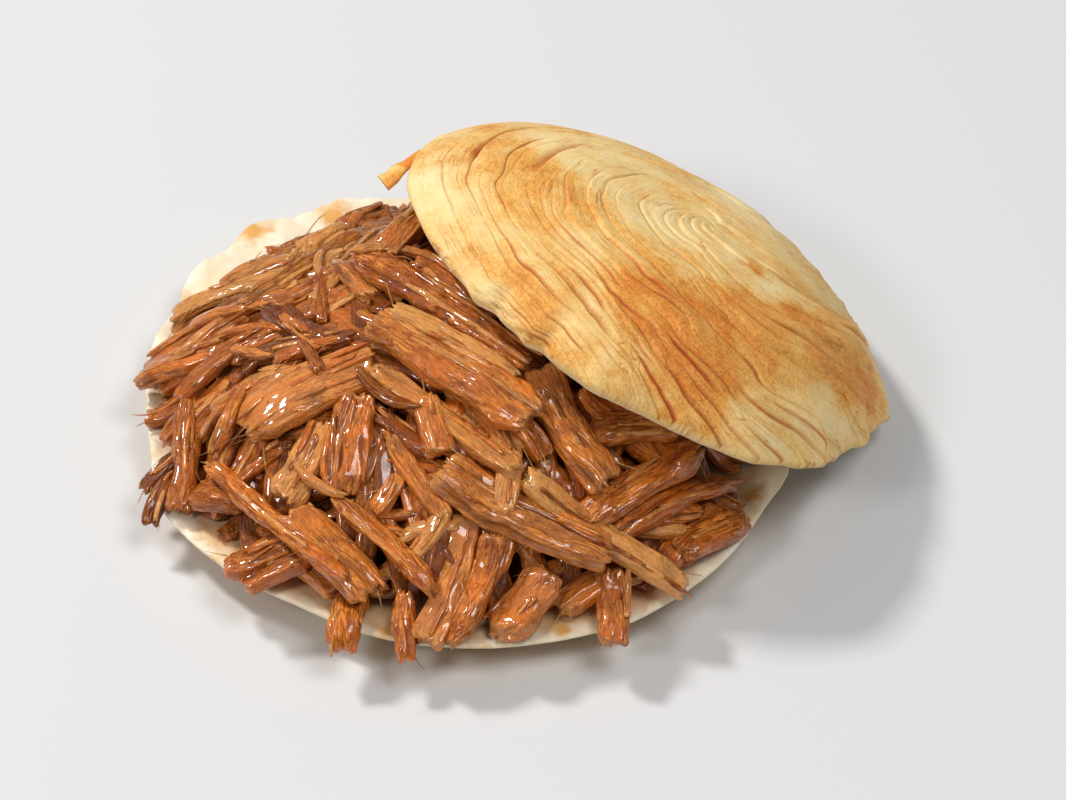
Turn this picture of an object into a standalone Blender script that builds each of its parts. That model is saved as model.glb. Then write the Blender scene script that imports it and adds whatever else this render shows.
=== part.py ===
"""Roujiamo: a flaky baked bun, opened, its lower half heaped with pulled braised pork.

The lower half lies cut face up. The domed upper half is pushed back to the right and
leans on the meat. Units are metres and +Z is up. The origin is the centre of the flat
underside of the lower half. +X is to the viewer's right and +Y away from the viewer.
"""
import math
import random

import bmesh
import bpy
import numpy as np
from mathutils import Matrix, Vector

MM = 0.001
TOUCH_GAP = 0.3 * MM          # left between pieces that rest on each other

# Lower half of the bun
BREAD_RADIUS = 59.2 * MM
BREAD_FOOT_RADIUS = 46 * MM   # flat part of the underside
BREAD_RIM_HEIGHT = 8.2 * MM
BREAD_LIP = 0.8 * MM          # height of the upright edge of the rim
BREAD_WALL_STEPS = 5
BREAD_WALL_CURVE = 1.7        # how the outer wall steepens towards the rim
BREAD_CUT_DEPTH = 1.7 * MM    # the cut face sinks this much to its middle
BREAD_CUT_RINGS = (0.985, 0.9, 0.75, 0.5, 0.25)
BREAD_SEGMENTS = 72
# Uneven rim: direction in degrees, bulge in millimetres, half width in degrees
BREAD_RIM_LOBES = (
    (131, 2.6, 11), (149, 2.4, 5), (117, 0.9, 5), (188, -1.8, 11),
    (212, 1.1, 9), (243, -1.2, 9), (302, 0.6, 8), (351, 1.5, 7),
)

# Upper half of the bun, in its own frame: +Z out of the rim plane, +X down the slope
LID_RADIUS = 49.5 * MM
LID_CENTRE = Vector((32.5, 14.8, 25.2)) * MM
LID_TILT = math.radians(29)
LID_HEADING = math.radians(30.6)
LID_DOME = 17 * MM
LID_DOME_POWER = 2.4
LID_DOME_FALL = 0.8
LID_HOLLOW = 6.5 * MM         # how far the underside rises to its middle
LID_EDGE = 1.8 * MM           # thickness of the rim
LID_LAYERS = 9                # flaky layers from the crown to the rim
LID_STEP = 0.95 * MM          # drop at the outer edge of a layer
LID_CROWN = (0.0, 0.5)        # where the pattern starts, and its relief there
LID_LAYER_PROFILE = ((0.45, 0.62), (0.84, 1.0), (1.0, 0.0))   # a layer swells outwards, then drops
LID_LEG_SEGMENTS = 7
LID_ARC_SEGMENTS = 22
LID_PATTERN_TURN = math.radians(-60)   # way in which the nested layers open
LID_PATTERN_FAN = 0.25        # how fast their legs spread
LID_UNDERSIDE_RINGS = (0.82, 0.55, 0.25)
LID_RIM_FADE = 6              # power with which the rim's shape fades towards the crown
LID_RIM_RELIEF = 0.5          # share of the layers' relief left at the rim
LID_COVER = 1.07              # share of the radius within which the lid limits the heap
# Ragged rim: direction in degrees, change in radius in millimetres, half width in degrees
LID_RIM_NICKS = (
    (200, -1.8, 30), (237, -1.6, 14), (262, 0.4, 6), (282, 0.8, 4), (297, -2.4, 13),
    (303, 0.9, 4), (316, -0.8, 5), (332, 0.9, 18), (150, 0.5, 8), (100, 0.6, 9), (35, -0.8, 12),
)
# Strip of crust that hangs from the raised end of the rim: direction in degrees,
# distance out of the rim and height over the rim plane in millimetres, width in millimetres
LID_FLAKE = ((121, -1.6, 0.3, 2.6), (128, -0.4, 0.0, 2.4), (134, 0.8, -1.2, 2.0),
             (139, 2.2, -3.0, 1.6), (142, 3.4, -4.8, 1.0))
LID_FLAKE_THICKNESS = 0.9 * MM

# Heap of meat
HEAP_MIDDLE = Vector((-1, -2.5)) * MM
HEAP_FOOT_RADIUS = 52 * MM
HEAP_FOOT_HEIGHT = 3 * MM
HEAP_RISE = 25 * MM
HEAP_POWER = 2.5
HEAP_SEGMENTS = 36
HEAP_TOP_RINGS = 7
HEAP_BOTTOM_RINGS = 3
HEAP_SEED = 11
SHRED_SINK = 0.9 * MM         # how far a shred settles into what is below it
SHRED_OVERHANG_DROP = 0.55    # fall of an end past the bread's rim, per metre past it
SHRED_FLATNESS = 0.62         # thickness against width
SHRED_THINNEST = 1.7 * MM
SHRED_THICKEST = 4.6 * MM
SHRED_STATIONS = ((0.0, 0.6), (0.2, 1.0), (0.72, 0.96), (1.0, 0.5))   # share of length, of width
SHRED_SIDES = 5
SHRED_CLEARANCE = 0.8 * MM    # between a shred and the lid over it
SHRED_BOW = 0.06              # largest sideways bow, per length
CORE_CLEARANCE = 0.6 * MM     # between the core and the lid over it
CEILING_ROUNDS = 6            # rounds that settle the height of the lid over a point
SUPPORT_CELL = 1 * MM
SUPPORT_REACH = 75            # cells from the middle of the height map to its edge
SUPPORT_WIDTH = 0.35          # half breadth that a shred fills in the map, per width
SUPPORT_HEIGHT = 0.4          # its top over its midline there, per thickness

# Shreds that stand out, lowest first: start x, y and end x, y in the plan and the width,
# all in millimetres
SHREDS = (
    (-35, 31, -29, 34, 4), (-46, 26, -36, 29, 5), (-54, 15, -31, 20, 4),
    (-58, 3, -40, 5, 5), (-59, -1, -43, -2, 6),
    (-57, -9, -47, -7, 4), (-32, 21, -24, 29, 5), (-54, -34, -50, -22, 4), (-56, -26, -48, -18, 3),
    (-40, -46, -29, -44, 6), (-36, -50, -25, -47, 5), (-47, -30, -37, -35, 6), (-43, -18, -33, -17, 6),
    (-17, -52, -18, -62, 6), (-8, -52, -7, -63, 4), (28, -45, 29, -57, 6), (17, -48, 9, -58, 8),
    (40, -38, 52, -26, 6), (23, -25, 38, -21, 6), (44, -24, 51, -25, 3), (-12, 20, -2, 24, 6),
    (-49, -11, -49, -33, 5), (-41, 5, -21, 26, 4), (-35, 1, -25, 9, 4), (-51, -11, -27, 0, 4),
    (-24, -26, -30, -38, 7), (-18, -23, -20, -39, 8), (2, -42, -4, -61, 6), (7, -46, 0, -61, 5),
    (-10, -36, -14, -42, 4), (-29, -41, -14, -54, 8), (-38, -9, -20, -9, 4), (-16, 10, -6, 25, 6),
    (-28, 1, -17, 25, 3), (-7, 1, 6, -11, 5), (5, -12, 15, -21, 5), (5, -25, 15, -32, 5),
    (27, -41, 49, -20, 5), (23, -39, 42, -22, 7), (-38, -26, -16, -16, 11), (-16, -9, 12, -29, 9),
    (-13, -8, 9, -21, 5), (-16, -19, 10, -37, 5), (13, -17, 26, -34, 8), (-21, 10, 11, -19, 6),
    (-12, -30, -2, -44, 4), (-2, -43, -8, -50, 3), (-21, -41, -3, -55, 4), (-3, -37, 27, -45, 10),
    (12, -37, 41, -45, 6), (-44, -28, -18, -54, 4),
)
# Lesser shreds between them: middle x and y, reach, heading in degrees, spread in degrees,
# how many, length and width. Their ends stay within the limit of the middle. Lengths are
# in millimetres.
DRIFT_LIMIT = 55
DRIFT_LENGTHS = (0.7, 1.25)   # lengths and widths vary between these shares
DRIFT_WIDTHS = (0.75, 1.3)
SHRED_DRIFTS = (
    (-40, 12, 16, 40, 25, 8, 18, 4), (-40, -18, 15, 60, 35, 7, 15, 4),
    (-14, -6, 17, -40, 35, 7, 17, 5), (0, -34, 17, -70, 35, 7, 16, 5),
    (28, -34, 14, 35, 30, 5, 16, 5), (-24, -40, 12, -55, 30, 4, 14, 4),
    (-8, 36, 16, 10, 60, 6, 17, 6), (34, -6, 16, -20, 50, 4, 18, 6),
    (22, 32, 16, 40, 60, 5, 18, 6),
)

# Looks of the plain solids: base colour and roughness
BREAD_LOOK = ((0.86, 0.76, 0.58), 0.75)
CRUST_LOOK = ((0.78, 0.50, 0.20), 0.6)
MEAT_LOOK = ((0.36, 0.11, 0.03), 0.35)


def clear_scene():
    for old in list(bpy.data.objects):
        bpy.data.objects.remove(old, do_unlink=True)


def make_material(name, look):
    colour, roughness = look
    material = bpy.data.materials.new(name)
    material.use_nodes = True
    shader = material.node_tree.nodes["Principled BSDF"]
    shader.inputs["Base Color"].default_value = (*colour, 1)
    shader.inputs["Roughness"].default_value = roughness
    shader.inputs["Metallic"].default_value = 0
    return material


def add_object(name, bm, collection=None):
    """Turn a bmesh into an object with its faces pointing out."""
    bmesh.ops.recalc_face_normals(bm, faces=bm.faces)
    mesh = bpy.data.meshes.new(name)
    bm.to_mesh(mesh)
    bm.free()
    obj = bpy.data.objects.new(name, mesh)
    (collection or bpy.context.scene.collection).objects.link(obj)
    return obj


def bump(angle, centre, half_width):
    """Smooth bump of height 1 in one direction; all in degrees."""
    apart = (angle - centre + 180) % 360 - 180
    return math.exp(-(apart / half_width) ** 2)


def uneven(angle, features):
    """Sum of the bumps of an uneven rim, in metres."""
    degrees = math.degrees(angle)
    return sum(size * MM * bump(degrees, centre, width) for centre, size, width in features)


def loop_faces(bm, inner, outer):
    """Quads between two closed loops with as many vertices."""
    for i in range(len(inner)):
        j = (i + 1) % len(inner)
        bm.faces.new((inner[i], inner[j], outer[j], outer[i]))


def fan_faces(bm, loop, centre):
    for i in range(len(loop)):
        bm.faces.new((loop[i], loop[(i + 1) % len(loop)], centre))


# Lower half of the bun

def bread_rim_radius(angle):
    return BREAD_RADIUS + uneven(angle, BREAD_RIM_LOBES)


def bread_top(x, y):
    """Height of the cut face."""
    share = math.hypot(x, y) / bread_rim_radius(math.atan2(y, x))
    return BREAD_RIM_HEIGHT - BREAD_CUT_DEPTH * (1 - min(share, 1) ** 2)


def bread_profile():
    """Points of the turned profile from the foot over the rim to the middle of the cut face.

    Each is a share of the rim's radius and a height.
    """
    foot = BREAD_FOOT_RADIUS / BREAD_RADIUS
    wall = []
    for i in range(BREAD_WALL_STEPS + 1):
        rise = i / BREAD_WALL_STEPS
        height = (BREAD_RIM_HEIGHT - BREAD_LIP) * rise ** BREAD_WALL_CURVE
        wall.append((foot + (1 - foot) * rise, height))
    cut = [(share, BREAD_RIM_HEIGHT - BREAD_CUT_DEPTH * (1 - share ** 2)) for share in BREAD_CUT_RINGS]
    return wall + cut


def make_bottom_bread():
    bm = bmesh.new()
    angles = [2 * math.pi * i / BREAD_SEGMENTS for i in range(BREAD_SEGMENTS)]
    loops = []
    for share, height in bread_profile():
        loop = []
        for angle in angles:
            radius = share * bread_rim_radius(angle)
            loop.append(bm.verts.new((radius * math.cos(angle), radius * math.sin(angle), height)))
        loops.append(loop)
    for inner, outer in zip(loops, loops[1:]):
        loop_faces(bm, inner, outer)
    fan_faces(bm, loops[-1], bm.verts.new((0, 0, BREAD_RIM_HEIGHT - BREAD_CUT_DEPTH)))
    bm.faces.new(loops[0])
    bread = add_object("bottom_bread", bm)
    bread.data.materials.append(make_material("bread_crumb", BREAD_LOOK))
    return bread


# Upper half of the bun

def lid_matrix():
    return (Matrix.Translation(LID_CENTRE) @ Matrix.Rotation(LID_HEADING, 4, "Z")
            @ Matrix.Rotation(LID_TILT, 4, "Y"))


def dome(share):
    """Height of the dome over the rim plane at a share of the radius."""
    return LID_DOME * max(0.0, 1 - share ** LID_DOME_POWER) ** LID_DOME_FALL


def lid_underside(share):
    return LID_HOLLOW * (1 - min(share, 1) ** 2) - LID_EDGE / 2


def leg_end(ring):
    """Where a spreading leg of the layer pattern meets the unit circle."""
    fan = LID_PATTERN_FAN * ring
    half = fan * ring
    return (-half + math.sqrt(half ** 2 + (1 + fan ** 2) * (1 - ring ** 2))) / (1 + fan ** 2)


def layer_line(ring):
    """Points of one U-shaped layer edge on the unit disc, from leg end to leg end."""
    ahead = leg_end(ring)
    points = []
    for i in range(LID_LEG_SEGMENTS):
        a = ahead * (1 - i / LID_LEG_SEGMENTS)
        points.append((a, -ring * (1 + LID_PATTERN_FAN * a)))
    for i in range(LID_ARC_SEGMENTS + 1):
        turn = math.pi * i / LID_ARC_SEGMENTS
        points.append((-ring * math.sin(turn), -ring * math.cos(turn)))
    for i in range(1, LID_LEG_SEGMENTS + 1):
        a = ahead * i / LID_LEG_SEGMENTS
        points.append((a, ring * (1 + LID_PATTERN_FAN * a)))
    cos, sin = math.cos(LID_PATTERN_TURN), math.sin(LID_PATTERN_TURN)
    return [(a * cos - b * sin, a * sin + b * cos) for a, b in points]


def layer_rings():
    """Rings of the pattern, each with its relief."""
    rings = [LID_CROWN]
    for layer in range(LID_LAYERS):
        for share, relief in LID_LAYER_PROFILE:
            rings.append(((layer + share) / LID_LAYERS, relief))
    return rings


def make_lid_shell():
    bm = bmesh.new()
    lines = []
    for ring, relief in layer_rings():
        line = []
        for x, y in layer_line(ring):
            share = min(1.0, math.hypot(x, y))
            fade = share ** LID_RIM_FADE
            edge = LID_EDGE / 2 + LID_STEP * relief * (1 - (1 - LID_RIM_RELIEF) * fade)
            scale = LID_RADIUS + uneven(math.atan2(y, x), LID_RIM_NICKS) * fade
            line.append(bm.verts.new((x * scale, y * scale, dome(share) + edge)))
        lines.append(line)
    for inner, outer in zip(lines, lines[1:]):
        for i in range(len(inner) - 1):
            bm.faces.new((inner[i], inner[i + 1], outer[i + 1], outer[i]))
    bmesh.ops.remove_doubles(bm, verts=bm.verts, dist=0.02 * MM)
    bmesh.ops.recalc_face_normals(bm, faces=bm.faces)
    rim = ordered_boundary(bm)
    bottom = [bm.verts.new((v.co.x, v.co.y, -LID_EDGE / 2)) for v in rim]
    loop_faces(bm, rim, bottom)
    outer = bottom
    for share in LID_UNDERSIDE_RINGS:
        inner = [bm.verts.new((v.co.x * share, v.co.y * share, lid_underside(share))) for v in bottom]
        loop_faces(bm, outer, inner)
        outer = inner
    fan_faces(bm, outer, bm.verts.new((0, 0, lid_underside(0))))
    bmesh.ops.triangulate(bm, faces=bm.faces)
    return bm


def ordered_boundary(bm):
    """The open edge of a disc as a closed loop of vertices."""
    edges = [e for e in bm.edges if e.is_boundary]
    loop = [edges[0].verts[0], edges[0].verts[1]]
    while True:
        here, before = loop[-1], loop[-2]
        onward = next(e.other_vert(here) for e in here.link_edges
                      if e.is_boundary and e.other_vert(here) is not before)
        if onward is loop[0]:
            return loop
        loop.append(onward)


def strip_mesh(points, widths, thicknesses, side_way, sides):
    """Closed strip along points; side_way(i) is the level direction of its width."""
    bm = bmesh.new()
    loops = []
    for i, point in enumerate(points):
        ahead = points[min(i + 1, len(points) - 1)] - points[max(i - 1, 0)]
        side = side_way(i)
        lift = ahead.cross(side).normalized()
        if lift.z < 0:
            lift = -lift
        loop = []
        for k in range(sides):
            turn = 2 * math.pi * (k + 0.5) / sides
            loop.append(bm.verts.new(point + side * (math.cos(turn) * widths[i] / 2)
                                     + lift * (math.sin(turn) * thicknesses[i] / 2)))
        loops.append(loop)
    for first, second in zip(loops, loops[1:]):
        loop_faces(bm, first, second)
    bm.faces.new(loops[0])
    bm.faces.new(loops[-1])
    bmesh.ops.triangulate(bm, faces=bm.faces)
    return bm


def make_flake(collection):
    points, widths, outward = [], [], []
    for degrees, out, height, width in LID_FLAKE:
        angle = math.radians(degrees)
        radius = LID_RADIUS + out * MM
        points.append(Vector((radius * math.cos(angle), radius * math.sin(angle), height * MM)))
        outward.append(Vector((math.cos(angle), math.sin(angle), 0)))
        widths.append(width * MM)
    bm = strip_mesh(points, widths, [LID_FLAKE_THICKNESS] * len(points), lambda i: outward[i], 4)
    return add_object("flake", bm, collection)


def fuse(obj, collection):
    """Join a collection's solids to an object, then keep only the outer skin."""
    join = obj.modifiers.new("join", "BOOLEAN")
    join.operation = "UNION"
    join.operand_type = "COLLECTION"
    join.collection = collection
    join.solver = "EXACT"
    graph = bpy.context.evaluated_depsgraph_get()
    fused = bpy.data.meshes.new_from_object(obj.evaluated_get(graph))
    obj.modifiers.remove(join)
    for piece in list(collection.objects):
        bpy.data.objects.remove(piece, do_unlink=True)
    bpy.data.collections.remove(collection)
    bm = bmesh.new()
    bm.from_mesh(fused)
    keep_largest_shell(bm)
    bmesh.ops.triangulate(bm, faces=bm.faces)
    bm.to_mesh(obj.data)
    bm.free()
    bpy.data.meshes.remove(fused)


def keep_largest_shell(bm):
    """Drop loose scraps and the skins of sealed hollows."""
    unseen = set(bm.verts)
    shells = []
    while unseen:
        front = [unseen.pop()]
        shell = list(front)
        while front:
            vert = front.pop()
            for edge in vert.link_edges:
                other = edge.other_vert(vert)
                if other in unseen:
                    unseen.remove(other)
                    front.append(other)
                    shell.append(other)
        shells.append(shell)
    shells.sort(key=len, reverse=True)
    for shell in shells[1:]:
        bmesh.ops.delete(bm, geom=shell, context="VERTS")


def new_collection(name):
    collection = bpy.data.collections.new(name)
    bpy.context.scene.collection.children.link(collection)
    return collection


def make_top_bread():
    lid = add_object("top_bread", make_lid_shell())
    flakes = new_collection("flakes")
    make_flake(flakes)
    fuse(lid, flakes)
    lid.location = LID_CENTRE
    lid.rotation_euler = (0, LID_TILT, LID_HEADING)
    lid.data.materials.append(make_material("baked_crust", CRUST_LOOK))
    return lid


# Heap of meat

class Ceiling:
    """Height of the lid's underside over a plan point."""

    def __init__(self):
        self.to_lid = lid_matrix().inverted()
        self.normal = lid_matrix().to_3x3() @ Vector((0, 0, 1))

    def height(self, x, y):
        """The height, or None where the lid isn't overhead."""
        z = LID_CENTRE.z
        for _ in range(CEILING_ROUNDS):
            local = self.to_lid @ Vector((x, y, z))
            share = math.hypot(local.x, local.y) / LID_RADIUS
            z += (lid_underside(share) - local.z) / self.normal.z
        return z if share < LID_COVER else None


def heap_core_top(x, y, ceiling):
    """Height of the smooth core of the heap."""
    share = min(1.0, math.hypot(x - HEAP_MIDDLE.x, y - HEAP_MIDDLE.y) / HEAP_FOOT_RADIUS)
    top = bread_top(x, y) + HEAP_FOOT_HEIGHT + HEAP_RISE * (1 - share ** HEAP_POWER)
    over = ceiling.height(x, y)
    if over is not None:
        top = min(top, over - CORE_CLEARANCE)
    return top


def heap_loop(bm, radius, height):
    loop = []
    for i in range(HEAP_SEGMENTS):
        angle = 2 * math.pi * i / HEAP_SEGMENTS
        x, y = HEAP_MIDDLE.x + radius * math.cos(angle), HEAP_MIDDLE.y + radius * math.sin(angle)
        loop.append(bm.verts.new((x, y, height(x, y))))
    return loop


def make_heap_core(ceiling):
    bm = bmesh.new()
    skins = ((HEAP_TOP_RINGS, lambda x, y: heap_core_top(x, y, ceiling)),
             (HEAP_BOTTOM_RINGS, lambda x, y: bread_top(x, y) + TOUCH_GAP))
    edges = []
    for rings, height in skins:
        inner = None
        for ring in range(1, rings + 1):
            loop = heap_loop(bm, HEAP_FOOT_RADIUS * ring / rings, height)
            if inner:
                loop_faces(bm, inner, loop)
            else:
                middle = bm.verts.new((*HEAP_MIDDLE, height(*HEAP_MIDDLE)))
                fan_faces(bm, loop, middle)
            inner = loop
        edges.append(inner)
    loop_faces(bm, *edges)
    bmesh.ops.triangulate(bm, faces=bm.faces)
    return add_object("meat_heap", bm)


class Support:
    """Height map of the growing heap, in cells round the middle."""

    def __init__(self, ceiling):
        count = 2 * SUPPORT_REACH + 1
        self.cells = np.zeros((count, count))
        for i in range(count):
            for j in range(count):
                x, y = (i - SUPPORT_REACH) * SUPPORT_CELL, (j - SUPPORT_REACH) * SUPPORT_CELL
                if math.hypot(x - HEAP_MIDDLE.x, y - HEAP_MIDDLE.y) < HEAP_FOOT_RADIUS:
                    self.cells[i, j] = heap_core_top(x, y, ceiling)
                else:
                    self.cells[i, j] = bread_top(x, y)

    def window(self, x, y, reach):
        i, j = round(x / SUPPORT_CELL) + SUPPORT_REACH, round(y / SUPPORT_CELL) + SUPPORT_REACH
        cells = round(reach / SUPPORT_CELL)
        return slice(i - cells, i + cells + 1), slice(j - cells, j + cells + 1)

    def height(self, x, y, reach):
        """Mean height round a point, so that a shred bridges small dips."""
        return float(self.cells[self.window(x, y, reach)].mean())

    def raise_to(self, x, y, reach, top):
        where = self.window(x, y, reach)
        self.cells[where] = np.maximum(self.cells[where], top)


def rest_heights(support, ceiling, plan, thickness):
    """Heights of a shred's midline at its plan points, resting on what is below it."""
    ground = [support.height(p.x, p.y, 2 * SUPPORT_CELL) for p in plan]
    level = []
    for i, point in enumerate(plan):
        near = ground[max(i - 1, 0):i + 2]
        z = (sum(near) + ground[i]) / (len(near) + 1) + thickness / 2 - SHRED_SINK
        floor = bread_top(point.x, point.y) + TOUCH_GAP + thickness / 2
        past_rim = point.length - bread_rim_radius(math.atan2(point.y, point.x)) - thickness
        if past_rim > 0:
            z -= SHRED_OVERHANG_DROP * past_rim
        else:
            z = max(z, floor)
        over = ceiling.height(point.x, point.y)
        if over is not None:
            z = min(z, over - SHRED_CLEARANCE - thickness / 2)
        level.append(z)
    return level


def hold_inside(middle, along):
    """Move a shred of a drift in from the rim until both its ends lie on the bread."""
    for end in (middle - along, middle + along):
        past = end.length - DRIFT_LIMIT
        if past > 0:
            middle = middle - end.normalized() * past
    return middle


def shred_rows(rng):
    """Every shred as start, end and width in metres: the drifts first, then those that stand out."""
    rows = []
    for x, y, reach, heading, spread, count, length, width in SHRED_DRIFTS:
        for _ in range(count):
            turn = math.radians(heading + rng.uniform(-spread, spread))
            half = length / 2 * rng.uniform(*DRIFT_LENGTHS)
            away, around = reach * math.sqrt(rng.random()), rng.uniform(0, 2 * math.pi)
            middle = Vector((x + away * math.cos(around), y + away * math.sin(around)))
            along = Vector((math.cos(turn), math.sin(turn))) * half
            middle = hold_inside(middle, along)
            thick = width * rng.uniform(*DRIFT_WIDTHS)
            rows.append(((middle - along) * MM, (middle + along) * MM, thick * MM))
    for x0, y0, x1, y1, width in SHREDS:
        rows.append((Vector((x0, y0)) * MM, Vector((x1, y1)) * MM, width * MM))
    return rows


def make_meat_heap():
    rng = random.Random(HEAP_SEED)
    ceiling = Ceiling()
    support = Support(ceiling)
    core = make_heap_core(ceiling)
    pieces = new_collection("shreds")
    for start, end, width in shred_rows(rng):
        thickness = min(SHRED_THICKEST, max(SHRED_THINNEST, width * SHRED_FLATNESS))
        across = Vector((start.y - end.y, end.x - start.x)).normalized()
        bow = rng.uniform(-SHRED_BOW, SHRED_BOW) * (end - start).length
        plan = []
        for share, _ in SHRED_STATIONS:
            plan.append(start.lerp(end, share) + across * bow * math.sin(math.pi * share))
        heights = rest_heights(support, ceiling, plan, thickness)
        points = [Vector((p.x, p.y, z)) for p, z in zip(plan, heights)]
        widths = [width * swell for _, swell in SHRED_STATIONS]
        thick = [thickness * swell for _, swell in SHRED_STATIONS]
        side = Vector((across.x, across.y, 0))
        add_object("shred", strip_mesh(points, widths, thick, lambda i: side, SHRED_SIDES), pieces)
        raise_support(support, points, width, thickness)
    fuse(core, pieces)
    core.data.materials.append(make_material("braised_pork", MEAT_LOOK))
    return core


def raise_support(support, points, width, thickness):
    """Add a placed shred to the height map."""
    for first, second in zip(points, points[1:]):
        steps = max(1, round((second - first).length / SUPPORT_CELL))
        for i in range(steps + 1):
            here = first.lerp(second, i / steps)
            support.raise_to(here.x, here.y, width * SUPPORT_WIDTH, here.z + thickness * SUPPORT_HEIGHT)


def main():
    clear_scene()
    make_bottom_bread()
    make_top_bread()
    make_meat_heap()


main()
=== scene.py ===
"""Roujiamo: a flaky baked bun, opened, its lower half heaped with pulled braised pork."""
import itertools
import math
import random

import bmesh
import bpy
import numpy as np
from mathutils import Matrix, Vector


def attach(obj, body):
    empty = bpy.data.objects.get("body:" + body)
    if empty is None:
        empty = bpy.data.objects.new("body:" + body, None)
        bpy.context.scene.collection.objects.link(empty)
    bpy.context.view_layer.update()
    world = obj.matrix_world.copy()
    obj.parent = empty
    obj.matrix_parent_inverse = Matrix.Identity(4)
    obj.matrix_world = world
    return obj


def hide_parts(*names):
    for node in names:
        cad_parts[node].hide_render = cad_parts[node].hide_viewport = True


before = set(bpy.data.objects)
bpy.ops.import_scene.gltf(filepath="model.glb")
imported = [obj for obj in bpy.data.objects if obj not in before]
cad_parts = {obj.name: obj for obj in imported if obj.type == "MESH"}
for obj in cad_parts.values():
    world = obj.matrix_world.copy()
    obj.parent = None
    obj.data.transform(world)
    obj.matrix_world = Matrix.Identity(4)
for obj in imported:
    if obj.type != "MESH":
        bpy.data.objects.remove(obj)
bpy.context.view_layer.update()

MM = 0.001
TOUCH_GAP = 0.3 * MM
POLE_MERGE = 0.01 * MM

# Lower half of the bun
BREAD_RADIUS = 59.2 * MM
BREAD_FOOT_RADIUS = 46 * MM
BREAD_RIM_HEIGHT = 8.2 * MM
BREAD_LIP = 0.8 * MM
BREAD_LIP_INSET = 0.5 * MM
BREAD_WALL_CURVE = 1.7
BREAD_CUT_DEPTH = 1.7 * MM
# Uneven rim: direction in degrees, bulge in millimetres, half width in degrees
BREAD_RIM_LOBES = (
    (131, 2.6, 11), (149, 2.4, 5), (117, 0.9, 5), (188, -1.8, 11),
    (212, 1.1, 9), (243, -1.2, 9), (302, 0.6, 8), (351, 1.5, 7),
)
BREAD_TURN_STEPS = 400
BREAD_WALL_POINTS = 16
BREAD_CUT_POINTS = 64
BREAD_PUFFED = (130, 26)      # puffed rim at the back left: direction and half width in degrees
BREAD_TOP_BAND = (5.8 * MM, 6.6 * MM)      # heights over which the wall turns into the cut face
BREAD_SKIN_BAND = (6.4 * MM, 7.6 * MM)     # and over which its baked skin ends
BREAD_LUMPS = 0.30            # heights of the cut face's lumps, pores and puffs in millimetres
BREAD_PORES = 0.16
BREAD_PUFF = 0.9
# Toasted spots on the rim: x, y and size in millimetres
BREAD_TOASTED = ((-42, 44, 4.5), (-27, 51, 4), (-53, 26, 2), (53, -17, 3.0), (20, -54, 2.0),
                 (-11, -57, 1.5))

# Upper half of the bun, in its own frame: +Z out of the rim plane, +X down the slope
LID_RADIUS = 49.5 * MM
LID_CENTRE = Vector((32.5, 14.8, 25.2)) * MM
LID_TILT = math.radians(29)
LID_HEADING = math.radians(30.6)
LID_PLACE = (Matrix.Translation(LID_CENTRE) @ Matrix.Rotation(LID_HEADING, 4, "Z")
             @ Matrix.Rotation(LID_TILT, 4, "Y"))
LID_DOME = 17 * MM
LID_DOME_POWER = 2.4
LID_DOME_FALL = 0.8
LID_HOLLOW = 6.5 * MM
LID_EDGE = 1.8 * MM
LID_LAYERS = 9
LID_STEP = 1.15 * MM
LID_PATTERN_TURN = math.radians(-62)
LID_PATTERN_FAN = 0.1
LID_PATTERN_MIDDLE = (0.05, -0.05)
LID_SPIRAL = 0.40
# Swirl of the layers' legs: strongest turn, then where it starts, is full, fades and ends, in
# degrees round from the way that the legs run
LID_SWIRL = 1.0
LID_SWIRL_SECTOR = (-68, 8, 20, 178)
# Uneven rim: direction in degrees, bulge in millimetres, half width in degrees
LID_RIM_NICKS = (
    (200, -1.8, 30), (237, -1.6, 14), (262, 0.4, 6), (282, 0.8, 4), (297, -2.4, 13),
    (303, 0.9, 4), (316, -0.8, 5), (332, 0.9, 18), (150, 0.5, 8), (100, 0.6, 9), (35, -0.8, 12),
    (190, 1.3, 2.6), (195, -0.9, 2.0), (205, 1.0, 1.8), (209, -0.8, 2.2), (222, 0.6, 2.5),
    (285, -0.9, 1.4), (309, -1.0, 1.3), (322, 0.7, 1.6),
)
LID_RIM_RAGGED = 0.55 * MM
LID_RIM_FADE = 6
LID_RIM_RELIEF = 0.85
LID_PLEATS = (232, 34, 0.9)   # steeper folds along the near rim: direction, width, gain
LID_COVER = 1.07
# Torn strip of crust at the rim: direction in degrees, how far out, height and width in
# millimetres at points along it
LID_STRIP = ((119, -2.0, 0.5, 1.2), (126, -0.9, 0.4, 1.8), (133, 0.3, -0.8, 2.4),
             (139, 1.8, -2.6, 3.0), (142, 3.2, -4.6, 3.0))
LID_STRIP_THICKNESS = 0.35 * MM
LID_STRIP_FACING = Vector((-0.35, -0.6, 0.7))
LID_ALONG = 420
# Where mesh rings lie in one layer: close together at the main drop and the two minor ones
LID_RING_SPOTS = (0.03, 0.09, 0.17, 0.25, 0.30, 0.321, 0.333, 0.350, 0.40, 0.50, 0.60, 0.654,
                  0.667, 0.684, 0.73, 0.82, 0.92, 0.975, 1.0)
LID_MINOR_DROPS = (0.333, 0.667)
LID_UNDER_RINGS = 18
LID_TORN = 0.28 * MM          # roughness of the torn edge and the hollow's crumb
LID_WANDER = 0.045            # how far the layers stray: slowly, quickly and finely
LID_WANDER_QUICK = 0.018
LID_WANDER_FINE = 0.005
LID_SOFT_SWELL = 0.45         # heights of the swells under the layers and of the grain on them,
LID_GRAIN = 0.06              # in millimetres
LID_FOOT = 0.035              # widths of the painted crease shade at a layer's foot, lip and minor drops
LID_LIP = 0.02
LID_MINOR_CREASE = 0.022
LID_MINOR_STEP = 0.45
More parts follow.
